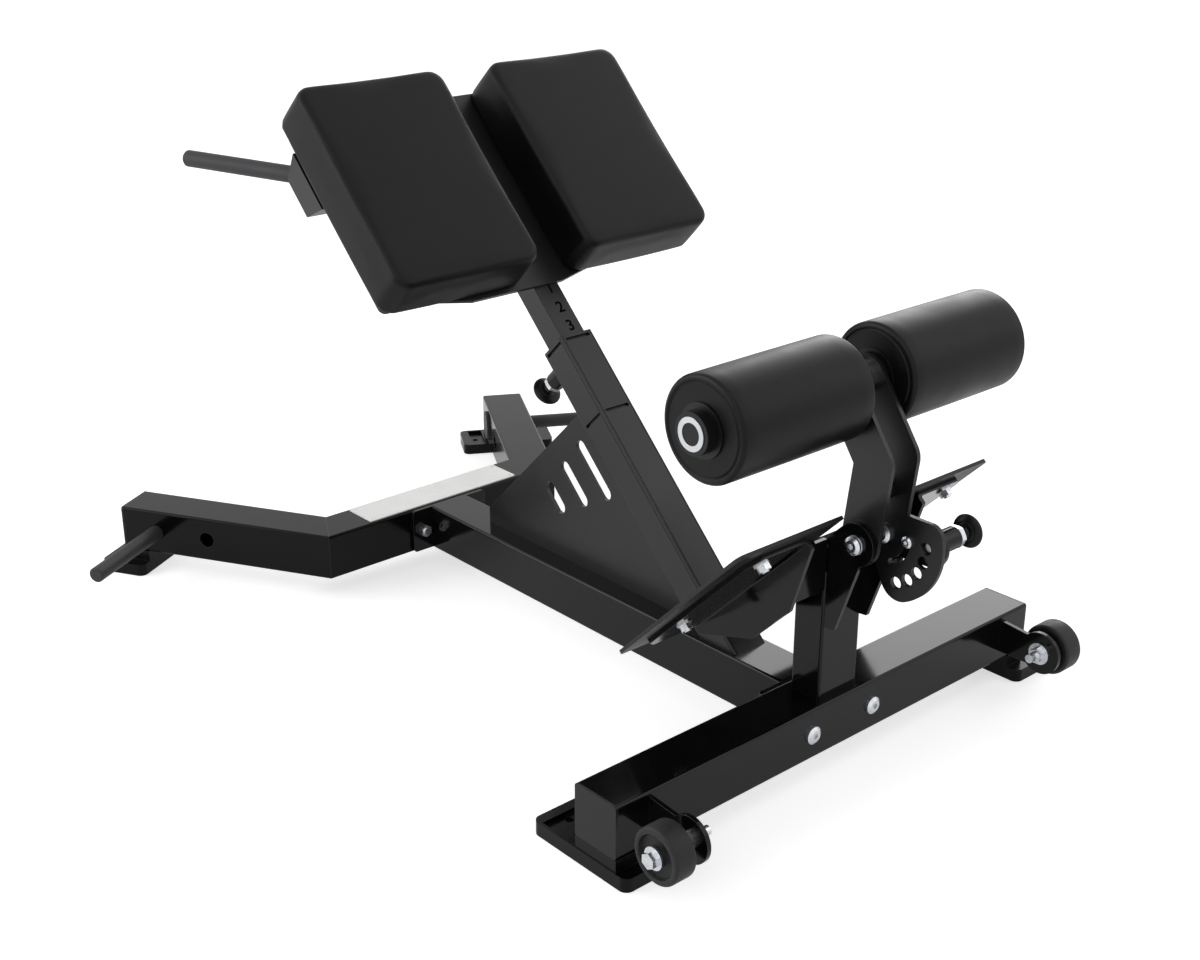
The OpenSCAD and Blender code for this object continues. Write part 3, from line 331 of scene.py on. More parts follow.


@dataclass(frozen=True)
class Finish:
    """A surface: its colour, gloss and relief, with sizes in millimetres.

    Its two colours turn into each other over patches of about the size patch, and its roughness by
    spread either way. edge is the radius that its edges are shaded with, and a painted highlight in
    the last colour lies along them.
    """

    name: str
    colour: str
    shade: str
    roughness: float
    spread: float = 0.04
    metallic: float = 0.0
    ior: float = 1.5
    specular: float = 0.5
    patch: float = 60.0
    grain: Grain = Grain.PEEL
    grain_size: float = 2.0
    grain_depth: float = 0.01
    edge: float = 0.0
    edge_highlight: str = ""

    def relief(self, tree: Tree, place: Socket) -> Socket:
        """Builds the height pattern.

        Args:
            tree: the material's nodes.
            place: the coordinates.

        Returns:
            The height, from 0 to 1.
        """
        scale = 1000 / self.grain_size
        if self.grain is Grain.PEBBLE:
            cells = add_node(tree, "ShaderNodeTexVoronoi", {"Vector": place, "Scale": scale},
                             feature="DISTANCE_TO_EDGE").outputs["Distance"]
            return add_node(tree, "ShaderNodeMapRange", {"Value": cells, "From Max": CREASE},
                            interpolation_type="SMOOTHSTEP").outputs["Result"]
        detail = 1.0 if self.grain is Grain.PEEL else 5.0
        if self.grain is Grain.BRUSHED:
            stretch = {"Vector": place, "Scale": (ALONG_BRUSH, 1.0, 1.0)}
            place = add_node(tree, "ShaderNodeMapping", stretch).outputs["Vector"]
        return add_node(tree, "ShaderNodeTexNoise",
                        {"Vector": place, "Scale": scale, "Detail": detail}).outputs["Fac"]

    def build(self) -> Material:
        """Makes the material.

        Returns:
            The material.
        """
        material = bpy.data.materials.new(self.name)
        material.use_nodes = True
        tree = material.node_tree
        tree.nodes.clear()
        place = add_node(tree, "ShaderNodeTexCoord").outputs["Object"]
        mottle = {"Vector": place, "Scale": 1000 / self.patch, "Detail": 4.0}
        patch = add_node(tree, "ShaderNodeTexNoise", mottle).outputs["Fac"]
        tone = add_node(tree, "ShaderNodeMapRange",
                        {"Value": patch, "From Min": MOTTLE[0], "From Max": MOTTLE[1]})
        colour = add_node(tree, "ShaderNodeMix",
                          {0: tone.outputs["Result"], 6: linear(self.colour),
                           7: linear(self.shade)}, data_type="RGBA").outputs[2]
        gloss = add_node(tree, "ShaderNodeMapRange",
                         {"Value": patch, "From Min": GLOSS_MOTTLE[0], "From Max": GLOSS_MOTTLE[1],
                          "To Min": max(SMOOTHEST, self.roughness - self.spread),
                          "To Max": self.roughness + self.spread})
        bump = {"Height": self.relief(tree, place), "Strength": 1.0,
                "Distance": self.grain_depth * MM}
        if self.edge:
            rounded = add_node(tree, "ShaderNodeBevel", {"Radius": self.edge * MM},
                               samples=4).outputs["Normal"]
            bump["Normal"] = rounded
            # Painted highlight: a lighter colour mixed in along every edge, where the rounded
            # normal leans from the flat one.
            if self.edge_highlight:
                flat = add_node(tree, "ShaderNodeNewGeometry").outputs["Normal"]
                lean = add_node(tree, "ShaderNodeVectorMath", {0: rounded, 1: flat},
                                operation="DOT_PRODUCT").outputs["Value"]
                highlight_mask = add_node(tree, "ShaderNodeMapRange",
                               {"Value": lean, "From Min": EDGE_FLAT, "From Max": EDGE_BENT,
                                "To Max": MOST_HIGHLIGHT})
                colour = add_node(tree, "ShaderNodeMix",
                                  {0: highlight_mask.outputs["Result"], 6: colour, 7: linear(self.edge_highlight)},
                                  data_type="RGBA").outputs[2]
        normal = add_node(tree, "ShaderNodeBump", bump).outputs["Normal"]
        shader = add_node(tree, "ShaderNodeBsdfPrincipled",
                          {"Base Color": colour, "Roughness": gloss.outputs["Result"],
                           "Metallic": self.metallic, "IOR": self.ior,
                           "Specular IOR Level": self.specular, "Normal": normal})
        add_node(tree, "ShaderNodeOutputMaterial", {"Surface": shader.outputs["BSDF"]})
        return material


@dataclass
class Paintbox:
    """The bench's finishes, each built once."""

    # Black epoxy-polyester powder, sprayed dry and baked: deep black, wet gloss, faint orange peel
    # about 2 mm across, and a painted highlight, a lighter line, along every folded edge.
    coat: Finish = Finish("gloss_black_powder_coat", "#0a0a0b", "#0d0d0e", 0.12, 0.03,
                          specular=0.25, patch=90, grain_size=2.2, grain_depth=0.004, edge=0.9,
                          edge_highlight="#5c5c60")
    # The same powder in a satin grade, softly reflecting: posts, gusset, pad carriage, roller arm.
    satin: Finish = Finish("satin_black_powder_coat", "#0c0c0d", "#101011", 0.36, 0.04,
                           specular=0.46, patch=90, grain_size=1.6, grain_depth=0.006, edge=0.6)
    # A copy of the gloss coat on the V base, made the deepest black on the bench, glossy but hardly
    # mirrored: painted shade for the darker look of its faces, with a painted highlight on its
    # edges.
    shaded_coat: Finish = Finish("darker_shaded_black_powder_coat", "#060607", "#080809", 0.13, 0.03,
                          specular=0.16, patch=90, grain_size=2.2, grain_depth=0.004, edge=0.9,
                          edge_highlight="#5c5c60")
    # Handles and pegs in the same powder with a fine texture additive, for grip: dull charcoal,
    # gritty at 0.8 mm.
    grip: Finish = Finish("fine_texture_powder_coat", "#323234", "#363638", 0.55, 0.05,
                          specular=0.3, patch=40, grain=Grain.PORES, grain_size=0.8,
                          grain_depth=0.02, edge=0.8)
    # The same powder with a sand additive on the tread: matt, gritty at 0.6 mm, drawn at 0.9 mm,
    # with a painted highlight along its edges.
    tread: Finish = Finish("sanded_black_powder_coat", "#0f0f10", "#141415", 0.42, 0.06,
                           specular=0.35, patch=70, grain=Grain.PORES, grain_size=0.9,
                           grain_depth=0.05, edge=0.8, edge_highlight="#3a3a3c")
    # Oil-blackened turning steel: dark, satin, with fine lines left by the tool, and a painted
    # highlight along its edges.
    blacked: Finish = Finish("blackened_turned_steel", "#131314", "#1a1a1b", 0.3, 0.06, patch=20,
                             grain=Grain.BRUSHED, grain_size=0.7, grain_depth=0.006, edge=0.4,
                             edge_highlight="#4a4a4c")
    # Injection-moulded polyethylene plugs and liner: waxy black with a spark-eroded matt skin.
    plastic: Finish = Finish("moulded_polyethylene", "#0c0c0d", "#101011", 0.34, 0.05, specular=0.3,
                             patch=30, grain=Grain.PORES, grain_size=0.7, grain_depth=0.02,
                             edge=0.5)
    # Phenolic ball-knob resin, hot pressed: dense black, half matt.
    resin: Finish = Finish("pressed_phenolic", "#0a0a0b", "#0e0e0f", 0.34, 0.05, ior=1.55,
                           specular=0.22, patch=15, grain=Grain.PORES, grain_size=0.6,
                           grain_depth=0.012, edge=0.4)
    # Compression-moulded SBR feet: black, slightly shiny from the hot mould, with a patchy bloom.
    rubber: Finish = Finish("moulded_black_rubber", "#070708", "#0b0b0c", 0.24, 0.08, ior=1.52,
                            specular=0.14, patch=25, grain=Grain.PORES, grain_size=1.0,
                            grain_depth=0.03, edge=1.2)
    # Cast polyurethane wheels: matt dark grey, scuffed by the floor.
    tyre: Finish = Finish("cast_grey_polyurethane", "#1d1d1f", "#262628", 0.5, 0.08, specular=0.3,
                          patch=14, grain=Grain.PORES, grain_size=0.8, grain_depth=0.04)
    # Extruded NBR foam sleeve: closed skin with fine pits, soft and slightly waxy.
    foam: Finish = Finish("extruded_nitrile_foam", "#0b0b0c", "#0f0f10", 0.38, 0.05, specular=0.18,
                          patch=45, grain=Grain.PORES, grain_size=1.3, grain_depth=0.05)
    # Upholstery vinyl pulled tight over foam: pebble cells of 1.1 mm, drawn at 1.4 mm to show.
    vinyl: Finish = Finish("tight_upholstery_vinyl", "#08080a", "#0c0c0d", 0.42, 0.04,
                           specular=0.18, patch=80, grain=Grain.PEBBLE, grain_size=1.4,
                           grain_depth=0.035)
    # Birch plywood under the pads: pale brown with long grain.
    plywood: Finish = Finish("birch_plywood", "#a5845a", "#7d6040", 0.6, 0.06, patch=9,
                             grain=Grain.BRUSHED, grain_size=1.6, grain_depth=0.04)
    # Bright zinc plating with clear chromate on bolts and nuts: cool grey metal, softly mirrored.
    zinc: Finish = Finish("bright_zinc_plate", "#e4e6e9", "#d2d5da", 0.28, 0.07, metallic=1.0,
                          patch=7, grain=Grain.PORES, grain_size=0.8, grain_depth=0.01, edge=0.3)
    # Centreless-ground steel at the pins' tips: pale satin metal that scatters the light on it.
    ground: Finish = Finish("ground_steel", "#e6e7e9", "#d9dadd", 0.45, 0.06, metallic=1.0,
                            patch=10, grain=Grain.BRUSHED, grain_size=0.6, grain_depth=0.004,
                            edge=0.3)
    # Hard-chromed shaft, ground and polished round: near mirror with hair lines.
    chrome: Finish = Finish("ground_hard_chrome", "#d3d5d8", "#c4c7cb", 0.1, 0.03, metallic=1.0,
                            patch=30, grain=Grain.BRUSHED, grain_size=0.5, grain_depth=0.002,
                            edge=0.3)
    # Stoved white enamel on the bare plate: smooth, slightly warm white.
    enamel: Finish = Finish("stoved_white_enamel", "#f4f4f2", "#ededeb", 0.28, 0.04, patch=60,
                            grain_size=2.5, grain_depth=0.003, edge=0.4)
    # Stencilled ink of the height numbers: flat black that kills the coat's gloss.
    ink: Finish = Finish("flat_stencil_ink", "#030303", "#050505", 0.9, 0.03, specular=0.03,
                         patch=8, grain=Grain.PORES, grain_size=0.5, grain_depth=0.005)

    made: dict[str, Material] = field(default_factory=dict)

    def of(self, finish: Finish) -> Material:
        """Gives the material of a finish, built at its first use.

        Args:
            finish: one of the box's finishes.

        Returns:
            Its material.
        """
        if finish.name not in self.made:
            self.made[finish.name] = finish.build()
        return self.made[finish.name]

    def paint(self, piece: Piece, finish: Finish) -> None:
        """Gives a whole piece one finish.

        Args:
            piece: a new piece or a CAD node.
            finish: its finish.
        """
        material = self.of(finish)
        if not piece.material_slots:
            piece.data.materials.append(material)
        for slot in piece.material_slots:
            slot.material = material


# -------------------------------------------------------------- the CAD nodes

@dataclass
class Steelwork:
    """The CAD nodes, each with the finish of its slot but for the nodes listed here: two other
    grades of coat, and a darker copy of the gloss coat as painted shade on the V base.
    """

    grips: tuple[str, ...] = ("handle_left", "handle_right", "band_peg_left", "band_peg_right")
    satins: tuple[str, ...] = ("inner_post", "carrier_plate", "pad_bracket", "arm_plate_left",
                               "arm_plate_right", "arm_spacer", "outer_post", "gusset_plate")
    # nodes given the darker copy of the gloss coat, as painted shade
    shaded_coat_nodes: tuple[str, ...] = ("v_centre", "v_wing_left", "v_wing_right")

    def finish_of(self, node: str, slot: str, box: Paintbox) -> Finish:
        """Chooses a node's finish.

        Args:
            node: the node's name.
            slot: the record's material slot of that node.
            box: the finishes.

        Returns:
            The finish.
        """
        by_slot = {"powder_coat": box.coat, "deck_coat": box.tread, "pin_steel": box.blacked,
                   "cap_plastic": box.plastic, "foot_rubber": box.rubber, "wheel_rubber": box.tyre,
                   "foam": box.foam, "vinyl": box.vinyl, "board": box.plywood, "zinc": box.zinc,
                   "shaft_chrome": box.chrome, "plate_white": box.enamel}
        for nodes, finish in ((self.satins, box.satin), (self.shaded_coat_nodes, box.shaded_coat),
                              (self.grips, box.grip)):
            if node in nodes:
                return finish
        return by_slot[slot]

    def dress(self, box: Paintbox) -> int:
        """Finishes every CAD node.

        Args:
            box: the finishes.

        Returns:
            How many nodes were finished.
        """
        slots = {row["node"]: row["material_slot"] for row in frame["record"]["subparts"]}
        for name, node in frame["nodes"].items():
            box.paint(node, self.finish_of(name, slots[name], box))
        return len(slots)


# ------------------------------------------------------------------ the pads

@dataclass
class HipPads:
    """Two upholstered hip pads, side by side at the top of the carriage.

    Lengths are in millimetres. The cloth's mass, stiffnesses and pressure are the simulation's own
    units. evening is how often the cover's moves are averaged with their neighbours'.
    """

    width: float = 260.0
    length: float = 348.0
    thick: float = 75.0
    centre_x: float = 171.5
    centre_s: float = 806.0
    base: float = -0.2
    corner: float = 25.0
    roll: float = 8.5
    foot_edge: float = 4.0
    shrink: float = 1.8
    cap: float = 1.8
    voxel: float = 4.0
    evening: int = 60
    on_board: float = 3.0
    cloth_mass: float = 0.4
    stretch: float = 60.0
    bending: float = 12.0
    pressure: float = 4.0
    quality: int = 5
    frames: int = 20

    def block(self) -> Piece:
        """Shapes the cut foam block, a little small, standing on its board.

        Returns:
            The block, its base at the origin.
        """
        deselect()
        wide = (self.width - 2 * self.shrink) * MM
        long = (self.length - 2 * self.shrink) * MM
        top = (self.thick - self.shrink) * MM
        bpy.ops.mesh.primitive_cube_add(size=1, location=(0, 0, top / 2), scale=(wide, long, top))
        pad = bpy.context.object
        bpy.ops.object.transform_apply(location=True, rotation=True, scale=True)
        bpy.ops.object.mode_set(mode="EDIT")
        pick_edges(pad, lambda a, b: abs(a.z - b.z) > top / 2)
        bpy.ops.mesh.bevel(offset=(self.corner - self.shrink) * MM, segments=7, profile=0.5,
                           affect="EDGES")
        pick_edges(pad, lambda a, b: min(a.z, b.z) > top - WELD)
        bpy.ops.mesh.bevel(offset=self.roll * MM, segments=5, profile=0.5, affect="EDGES")
        pick_edges(pad, lambda a, b: max(a.z, b.z) < WELD)
        bpy.ops.mesh.bevel(offset=self.foot_edge * MM, segments=2, profile=0.5, affect="EDGES")
        deselect()
        return pad

    def spread(self, moves: list[Vector], pad: Piece) -> list[Vector]:
        """Evens the moves out over the cover, which is stretched and shows no creases.

        Args:
            moves: each vertex's move.
            pad: the block with its edges.

        Returns:
            The evened moves.
        """
        pairs = [tuple(edge.vertices) for edge in pad.data.edges]
        for _ in range(self.evening):
            sums, counts = [m.copy() for m in moves], [1] * len(moves)
            for a, b in pairs:
                sums[a] += moves[b]
                sums[b] += moves[a]
                counts[a] += 1
                counts[b] += 1
            moves = [total / count for total, count in zip(sums, counts)]
        return moves

    def pull_tight(self, pad: Piece, board: str) -> None:
        """Runs the cover's cloth simulation and applies it.

        Args:
            pad: the remeshed block.
            board: the vertex group that is stapled to the board.
        """
        cloth = pad.modifiers.new("cover", "CLOTH")
        cover = cloth.settings
        cover.quality = self.quality
        cover.mass = self.cloth_mass
        cover.tension_stiffness = self.stretch
        cover.compression_stiffness = self.stretch
        cover.bending_stiffness = self.bending
        cover.use_pressure = True
        cover.uniform_pressure_force = self.pressure
        cover.vertex_group_mass = board
        cover.effector_weights.gravity = 0
        cloth.point_cache.frame_start, cloth.point_cache.frame_end = 1, self.frames
        for number in range(1, self.frames + 1):
            bpy.context.scene.frame_set(number)
        finish_modifiers(pad)
        bpy.context.scene.frame_set(1)

    def swell(self, pad: Piece) -> None:
        """Lets the cover pull tight over the block, and caps how far each point moves.

        Args:
            pad: the block, which becomes the padded shape.
        """
        hold(pad)
        pad.data.remesh_voxel_size = self.voxel * MM
        bpy.ops.object.voxel_remesh()
        points = pad.data.vertices
        start = [point.co.copy() for point in points]
        board = pad.vertex_groups.new(name="board")
        board.add([v.index for v in points if v.co.z < self.on_board * MM], 1.0, "REPLACE")
        self.pull_tight(pad, board.name)
        points = pad.data.vertices
        moves = self.spread([point.co - old for point, old in zip(points, start)], pad)
        half_w, half_l = self.width * MM / 2, self.length * MM / 2
        for point, old, move in zip(points, start, moves):
            if move.length > self.cap * MM:
                move = move.normalized() * self.cap * MM
            x, y, z = old + move
            point.co = (max(-half_w, min(half_w, x)), max(-half_l, min(half_l, y)), max(0.0, z))
        smooth = pad.modifiers.new("round", "SMOOTH")
        smooth.factor, smooth.iterations = 0.5, 1
        fine = pad.modifiers.new("fine", "SUBSURF")
        fine.levels = fine.render_levels = 1
        finish_modifiers(pad)
        pad.vertex_groups.clear()
        bpy.ops.object.shade_smooth()

    def build(self, box: Paintbox) -> int:
        """Builds both pads on the carriage.

        Args:
            box: the finishes.

        Returns:
            How many pieces were made.
        """
        model = self.block()
        self.swell(model)
        model.name = "padded_hip_left"
        pieces = {Side.LEFT: model, Side.RIGHT: twin(model, "padded_hip_right")}
        for side, pad in pieces.items():
            spot = moved(side.value * self.centre_x, self.centre_s, self.base)
            settle(pad, Place.POST.matrix() @ spot)
            box.paint(pad, box.vinyl)
            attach(pad, "pad_carriage")
            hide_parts(f"hip_pad_{side.word}")
        return len(pieces)


# --------------------------------------------------------------- the rollers

@dataclass
class FoamRollers:
    """Two foam sleeves that hold the ankles, with lengths in millimetres.

    crown is how much thinner a sleeve's radius is near its ends than in the middle.
    """

    inner: float = 36.5
    outer: float = 267.2
    radius: float = 68.3
    bore: float = 30.1
    axis_y: float = -23.1
    axis_z: float = 558.6
    groove: float = 1.6
    crown: float = 0.25
    steps: int = 128

    def end(self) -> Profile:
        """Draws one end, from the bore out to the body.

        Returns:
            The outline of a flat face, a groove, a bead and a rolled edge.
        """
        g, b = self.groove, self.bore
        return [(0.6, b), (0, b + 0.8), (0, 34.6), (0.5, 50), (0.3, 56.4), (0.7, 57.0),
                (g + 0.2, 57.8), (g + 0.4, 58.6), (g, 59.4), (0.8, 60.0), (0.2, 60.8),
                *fillet(6.2, self.radius - 6.4, 6.2, 180, 96, 7)]

    def build(self, box: Paintbox) -> int:
        """Turns both sleeves.

        Args:
            box: the finishes.

        Returns:
            How many pieces were made.
        """
        long = self.outer - self.inner
        end = self.end()
        crown = [(long * k, self.radius - self.crown * (1 - 4 * k * (1 - k)))
                 for k in (0.1, 0.25, 0.5, 0.75, 0.9)]
        outline = end + crown + [(long - z, r) for z, r in reversed(end)]
        outline += [(long / 2, self.bore), end[0]]
        for side in Side:
            sleeve = lathe(f"foam_sleeve_{side.word}", outline, self.steps)
            first = self.inner if side is Side.RIGHT else -self.outer
            settle(sleeve, moved(first, self.axis_y, self.axis_z, 90, "Y"))
            box.paint(sleeve, box.foam)
            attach(sleeve, f"roller_{side.word}_body")
            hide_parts(f"roller_foam_{side.word}")
        return len(Side)


# ---------------------------------------------------------------- the wheels

@dataclass
class Wheels:
    """Two small transport wheels behind the crossmember, with lengths in millimetres."""

    radius: float = 38.1
    wide: float = 34.0
    bore: float = 6.45
    hub: float = 12.6
    rim: float = 29.2
    dish: float = 6.9
    axle_y: float = -108.0
    axle_z: float = 80.3
    inner: tuple[float, float] = (380.35, 367.35)

    def face(self) -> Profile:
        """Draws one face, from the bore out to the tread.

        Returns:
            The outline of a raised hub, a coved dish, a flat rim and a rounded tread shoulder.
        """
        bore, hub, rim, dish = self.bore, self.hub, self.rim, self.dish
        return [(0.6, bore), (0.1, bore + 0.6), (0.1, hub - 1.2), (0.5, hub - 0.4), (1.4, hub),
                (dish - 1.6, hub + 0.7), (dish - 0.4, hub + 1.4), (dish, hub + 2.8),
                (dish, rim - 3.4), (dish - 0.5, rim - 1.8), (dish - 1.7, rim - 0.9),
                (1.2, rim), (0.4, rim + 0.4), (0, rim + 1.2), (0, self.radius - 4.4),
                *fillet(4.2, self.radius - 4.2, 4.2, 180, 90, 6)]

    def build(self, box: Paintbox) -> int:
        """Turns both wheels.

        Args:
            box: the finishes.

        Returns:
            How many pieces were made.
        """
        face, middle = self.face(), self.wide / 2
        outline = face + [(middle, self.radius)] + [(self.wide - z, r) for z, r in reversed(face)]
        outline += [(middle, self.bore), face[0]]
        for side, start in zip(Side, self.inner):
            wheel = lathe(f"wheel_tyre_{side.word}", outline)
            first = start if side is Side.RIGHT else -start - self.wide
            settle(wheel, moved(first, self.axle_y, self.axle_z, 90, "Y"))
            box.paint(wheel, box.tyre)
            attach(wheel, f"wheel_{side.word}_body")
            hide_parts(f"wheel_{side.word}")
        return len(Side)


# ------------------------------------------------------------ the locking pins

@dataclass
class LockingPins:
    """Two pull pins in threaded housings, one on the post and one on the arm.

    Lengths are in millimetres, along the pin from its housing's foot. The steps are the facets
    round each turned piece.
    """

    pin_r: float = 7.95
    tips: tuple[float, float] = (-6.2, -6.05)
    tip_len: float = 12.0
    knob_at: float = 65.3
    knob_r: float = 23.0
    barrel_r: float = 15.0
    barrel_len: float = 43.0
    nut_gap: float = 0.02
    nut_len: float = 8.0
    nut_flat: float = 13.5
    bore: float = 8.05
    pin_steps: int = 64
    nut_steps: int = 72
    knob_steps: int = 80
    nut_smooth: float = 20.0

    def places(self) -> dict[str, Matrix]:
        """Gives each pin's place.

        Returns:
            For each pin by name, its housing's foot, with the knob along local Z.
        """
        return {"post": Place.POST.matrix() @ moved(0, 508, -55, 180, "X"),
                "arm": moved(35.35, -137.5, 358.3, 90, "Y")}

    def tip(self, name: str, at: float) -> Piece:
        """Turns the pin's bright chamfered tip.

        Args:
            name: the piece's name.
            at: where it starts along the axis.

        Returns:
            The tip.
        """
        r, end = self.pin_r, at + self.tip_len
        return lathe(name, [(at, 0), (at, r - 2.0), (at + 0.3, r - 1.6), (at + 1.9, r - 0.15),
                            (at + 2.4, r), (end, r), (end, 0), (at, 0)], self.pin_steps)

    def shank(self, name: str, at: float) -> Piece:
        """Turns the pin's blackened shank, with a turned groove before the knob.

        Args:
            name: the piece's name.
            at: where the tip starts along the axis.

        Returns:
            The shank.
        """
        r, start, end = self.pin_r, at + self.tip_len, self.knob_at + 3
        return lathe(name, [(start, 0), (start, r), (end - 7.0, r), (end - 6.6, r - 0.5),
                            (end - 5.6, r - 0.5), (end - 5.2, r), (end, r), (end, 0), (start, 0)],
                     self.pin_steps)

    def knob(self, name: str) -> Piece:
        """Turns the mushroom knob: cone neck, round rim, ringed face and low boss.

        Args:
            name: the piece's name.

        Returns:
            The knob.
        """
        z, r = self.knob_at, self.knob_r
        neck = [(z, 0), (z, 10.4), (z + 0.4, 11.2), (z + 1.0, 13.2), (z + 1.7, 13.8),
                (z + 1.7, 14.8), (z + 1.4, 15.0), (z + 1.6, 15.6), (z + 3.8, r - 2.4)]
        rim = fillet(z + 6.9, r - 2.9, 2.9, 180, 0, 10)[2:]
        rings = [(z + 10.6, r - 3.4), (z + 10.8, r - 4.4), (z + 10.5, r - 4.9), (z + 10.5, r - 5.5),
                 (z + 10.8, r - 6.0), (z + 11.6, r - 7.4), (z + 13.2, r - 9.4)]
        boss = [(z + 13.8, r - 10.6), (z + 13.9, r - 12.0), (z + 13.9, 5.2), (z + 13.5, 4.6),
                (z + 12.9, 4.2), (z + 12.8, 0), (z, 0)]
        return lathe(name, neck + rim + rings + boss, self.knob_steps)

    def barrel(self, name: str) -> Piece:
        """Turns the housing's barrel with a groove before its chamfered mouth.

        Args:
            name: the piece's name.

        Returns:
            The barrel.
        """
        r, b, n = self.barrel_r, self.bore, self.barrel_len
        return lathe(name, [(0, b), (0, r - 0.6), (0.6, r), (n - 5.2, r), (n - 4.8, r - 0.5),
                            (n - 4.2, r - 0.5), (n - 3.8, r), (n - 1.0, r), (n, r - 1.0), (n, b),
                            (0, b)], self.knob_steps)

    def nut(self, name: str) -> Piece:
        """Turns a ring with chamfered corners and cuts six flats on it.

        Args:
            name: the piece's name.

        Returns:
            The nut.
        """
        n, h, b = self.barrel_len + self.nut_gap, self.nut_len, self.bore
        r = self.nut_flat / math.cos(math.pi / 6)
        ring = lathe(name, [(n, b), (n, r - 1.6), (n + 1.1, r), (n + h - 1.1, r), (n + h, r - 1.9),
                            (n + h, b + 1.0), (n + h - 0.8, b), (n, b)], self.nut_steps)
        bpy.ops.object.mode_set(mode="EDIT")
        for k in range(6):
            turn = math.radians(60 * k)
            out = Vector((math.cos(turn), math.sin(turn), 0))
            bpy.ops.mesh.select_all(action="SELECT")
            bpy.ops.mesh.bisect(plane_co=out * self.nut_flat * MM, plane_no=out, use_fill=True,
                                clear_outer=True)
        bpy.ops.mesh.select_all(action="SELECT")
        bpy.ops.mesh.normals_make_consistent(inside=False)
        hold(ring)
        bpy.ops.object.shade_smooth_by_angle(angle=math.radians(self.nut_smooth))
        return ring

    def build(self, box: Paintbox) -> int:
        """Builds both pins and housings.

        Args:
            box: the finishes.

        Returns:
            How many pieces were made.
        """
        for (where, place), tip in zip(self.places().items(), self.tips):
            pin, moving, housing = f"{where}_pin", f"{where}_pin_body", f"{where}_pin_housing"
            parts = [(self.tip(f"{pin}_tip", tip), box.ground, moving, pin, "zinc"),
                     (self.shank(f"{pin}_shank", tip), box.blacked, moving, pin, "pin_steel"),
                     (self.knob(f"{pin}_knob"), box.resin, moving, pin, "pin_steel"),
                     (self.barrel(f"{pin}_barrel"), box.coat, "frame", housing, "powder_coat"),
                     (self.nut(f"{pin}_nut"), box.zinc, "frame", housing, "zinc")]
            for piece, finish, body, node, slot in parts:
                settle(piece, place)
                box.paint(piece, finish)
                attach(piece, body)
                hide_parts(node)
        return len(self.tips) * len(parts)


# ------------------------------------------------------------------ the tread

@dataclass
class DeckTread:
    """Raised lozenges on the foot deck, as on chequer plate, with lengths in millimetres."""

    wide: float = 485.2
    long: float = 304.8
    pitch: float = 24.0
    lozenge: tuple[float, float, float] = (21.0, 5.6, 1.4)
    corners: int = 10
    sunk: float = 0.2
    taper: tuple[float, float, float] = (0.82, 0.6, 1.0)
    smooth: float = 30.0
    margin: float = 15.0
    notch_half: float = 56.2
    notch_long: float = 82.0
    bolts: tuple[tuple[float, float], ...] = ((-178, 41), (178, 41), (-178, 229), (178, 229))
    bolt_clear: float = 24.0

    def lozenge_model(self) -> Piece:
        """Shapes one lozenge: a low bar with pointed ends and a narrower top.

        Returns:
            The lozenge, lying at the origin with its foot sunk in the plate.
        """
        l, w, h = (v * MM for v in self.lozenge)
        deselect()
        middle = (0, 0, h / 2 - self.sunk * MM)
        bpy.ops.mesh.primitive_cylinder_add(vertices=self.corners, radius=l / 2, depth=h,
                                            location=middle)
        bar = bpy.context.object
        bar.scale = (1, w / l, 1)
        bpy.ops.object.transform_apply(location=True, rotation=True, scale=True)
        bpy.ops.object.mode_set(mode="EDIT")
        pick_faces(bar, lambda _, normal: normal.z > 0.9)
        bpy.ops.transform.resize(value=self.taper)
        hold(bar)
        bpy.ops.object.shade_smooth_by_angle(angle=math.radians(self.smooth))
        return bar

    def spots(self) -> list[tuple[float, float, float]]:
        """Lists the places of the lozenges.

        Returns:
            (x, y, turn in degrees) of each one, in the tread's plane.
        """
        found, edge = [], self.margin
        cols, rows = int(self.wide // self.pitch), int(self.long // self.pitch)
        for i in range(cols + 1):
            for j in range(rows + 1):
                x = (i - cols / 2) * self.pitch
                y = self.long / 2 + (j - rows / 2) * self.pitch
                inside = abs(x) <= self.wide / 2 - edge and edge < y < self.long - edge
                notch = abs(x) < self.notch_half + edge and y < self.notch_long + edge
                bolt = any(math.hypot(x - bx, y - by) < self.bolt_clear for bx, by in self.bolts)
                if inside and not notch and not bolt:
                    found.append((x, y, 45 if (i + j) % 2 else -45))
        return found

    def build(self, box: Paintbox) -> int:
        """Lays the lozenges on the deck.

        Args:
            box: the finishes.

        Returns:
            How many lozenges there are.
        """
        model = self.lozenge_model()
        spots = self.spots()
        bars = []
        for x, y, turn in spots:
            bar = twin(model, "bar")
            bar.matrix_world = Place.DECK.matrix() @ moved(x, y, 0, turn, "Z")
            bars.append(bar)
        bpy.data.objects.remove(model)
        tread = join(bars, "deck_tread_bars")
        settle(tread, tread.matrix_world.copy())
        box.paint(tread, box.tread)
        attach(tread, "frame")
        return len(spots)


# ---------------------------------------------------------------- the numbers

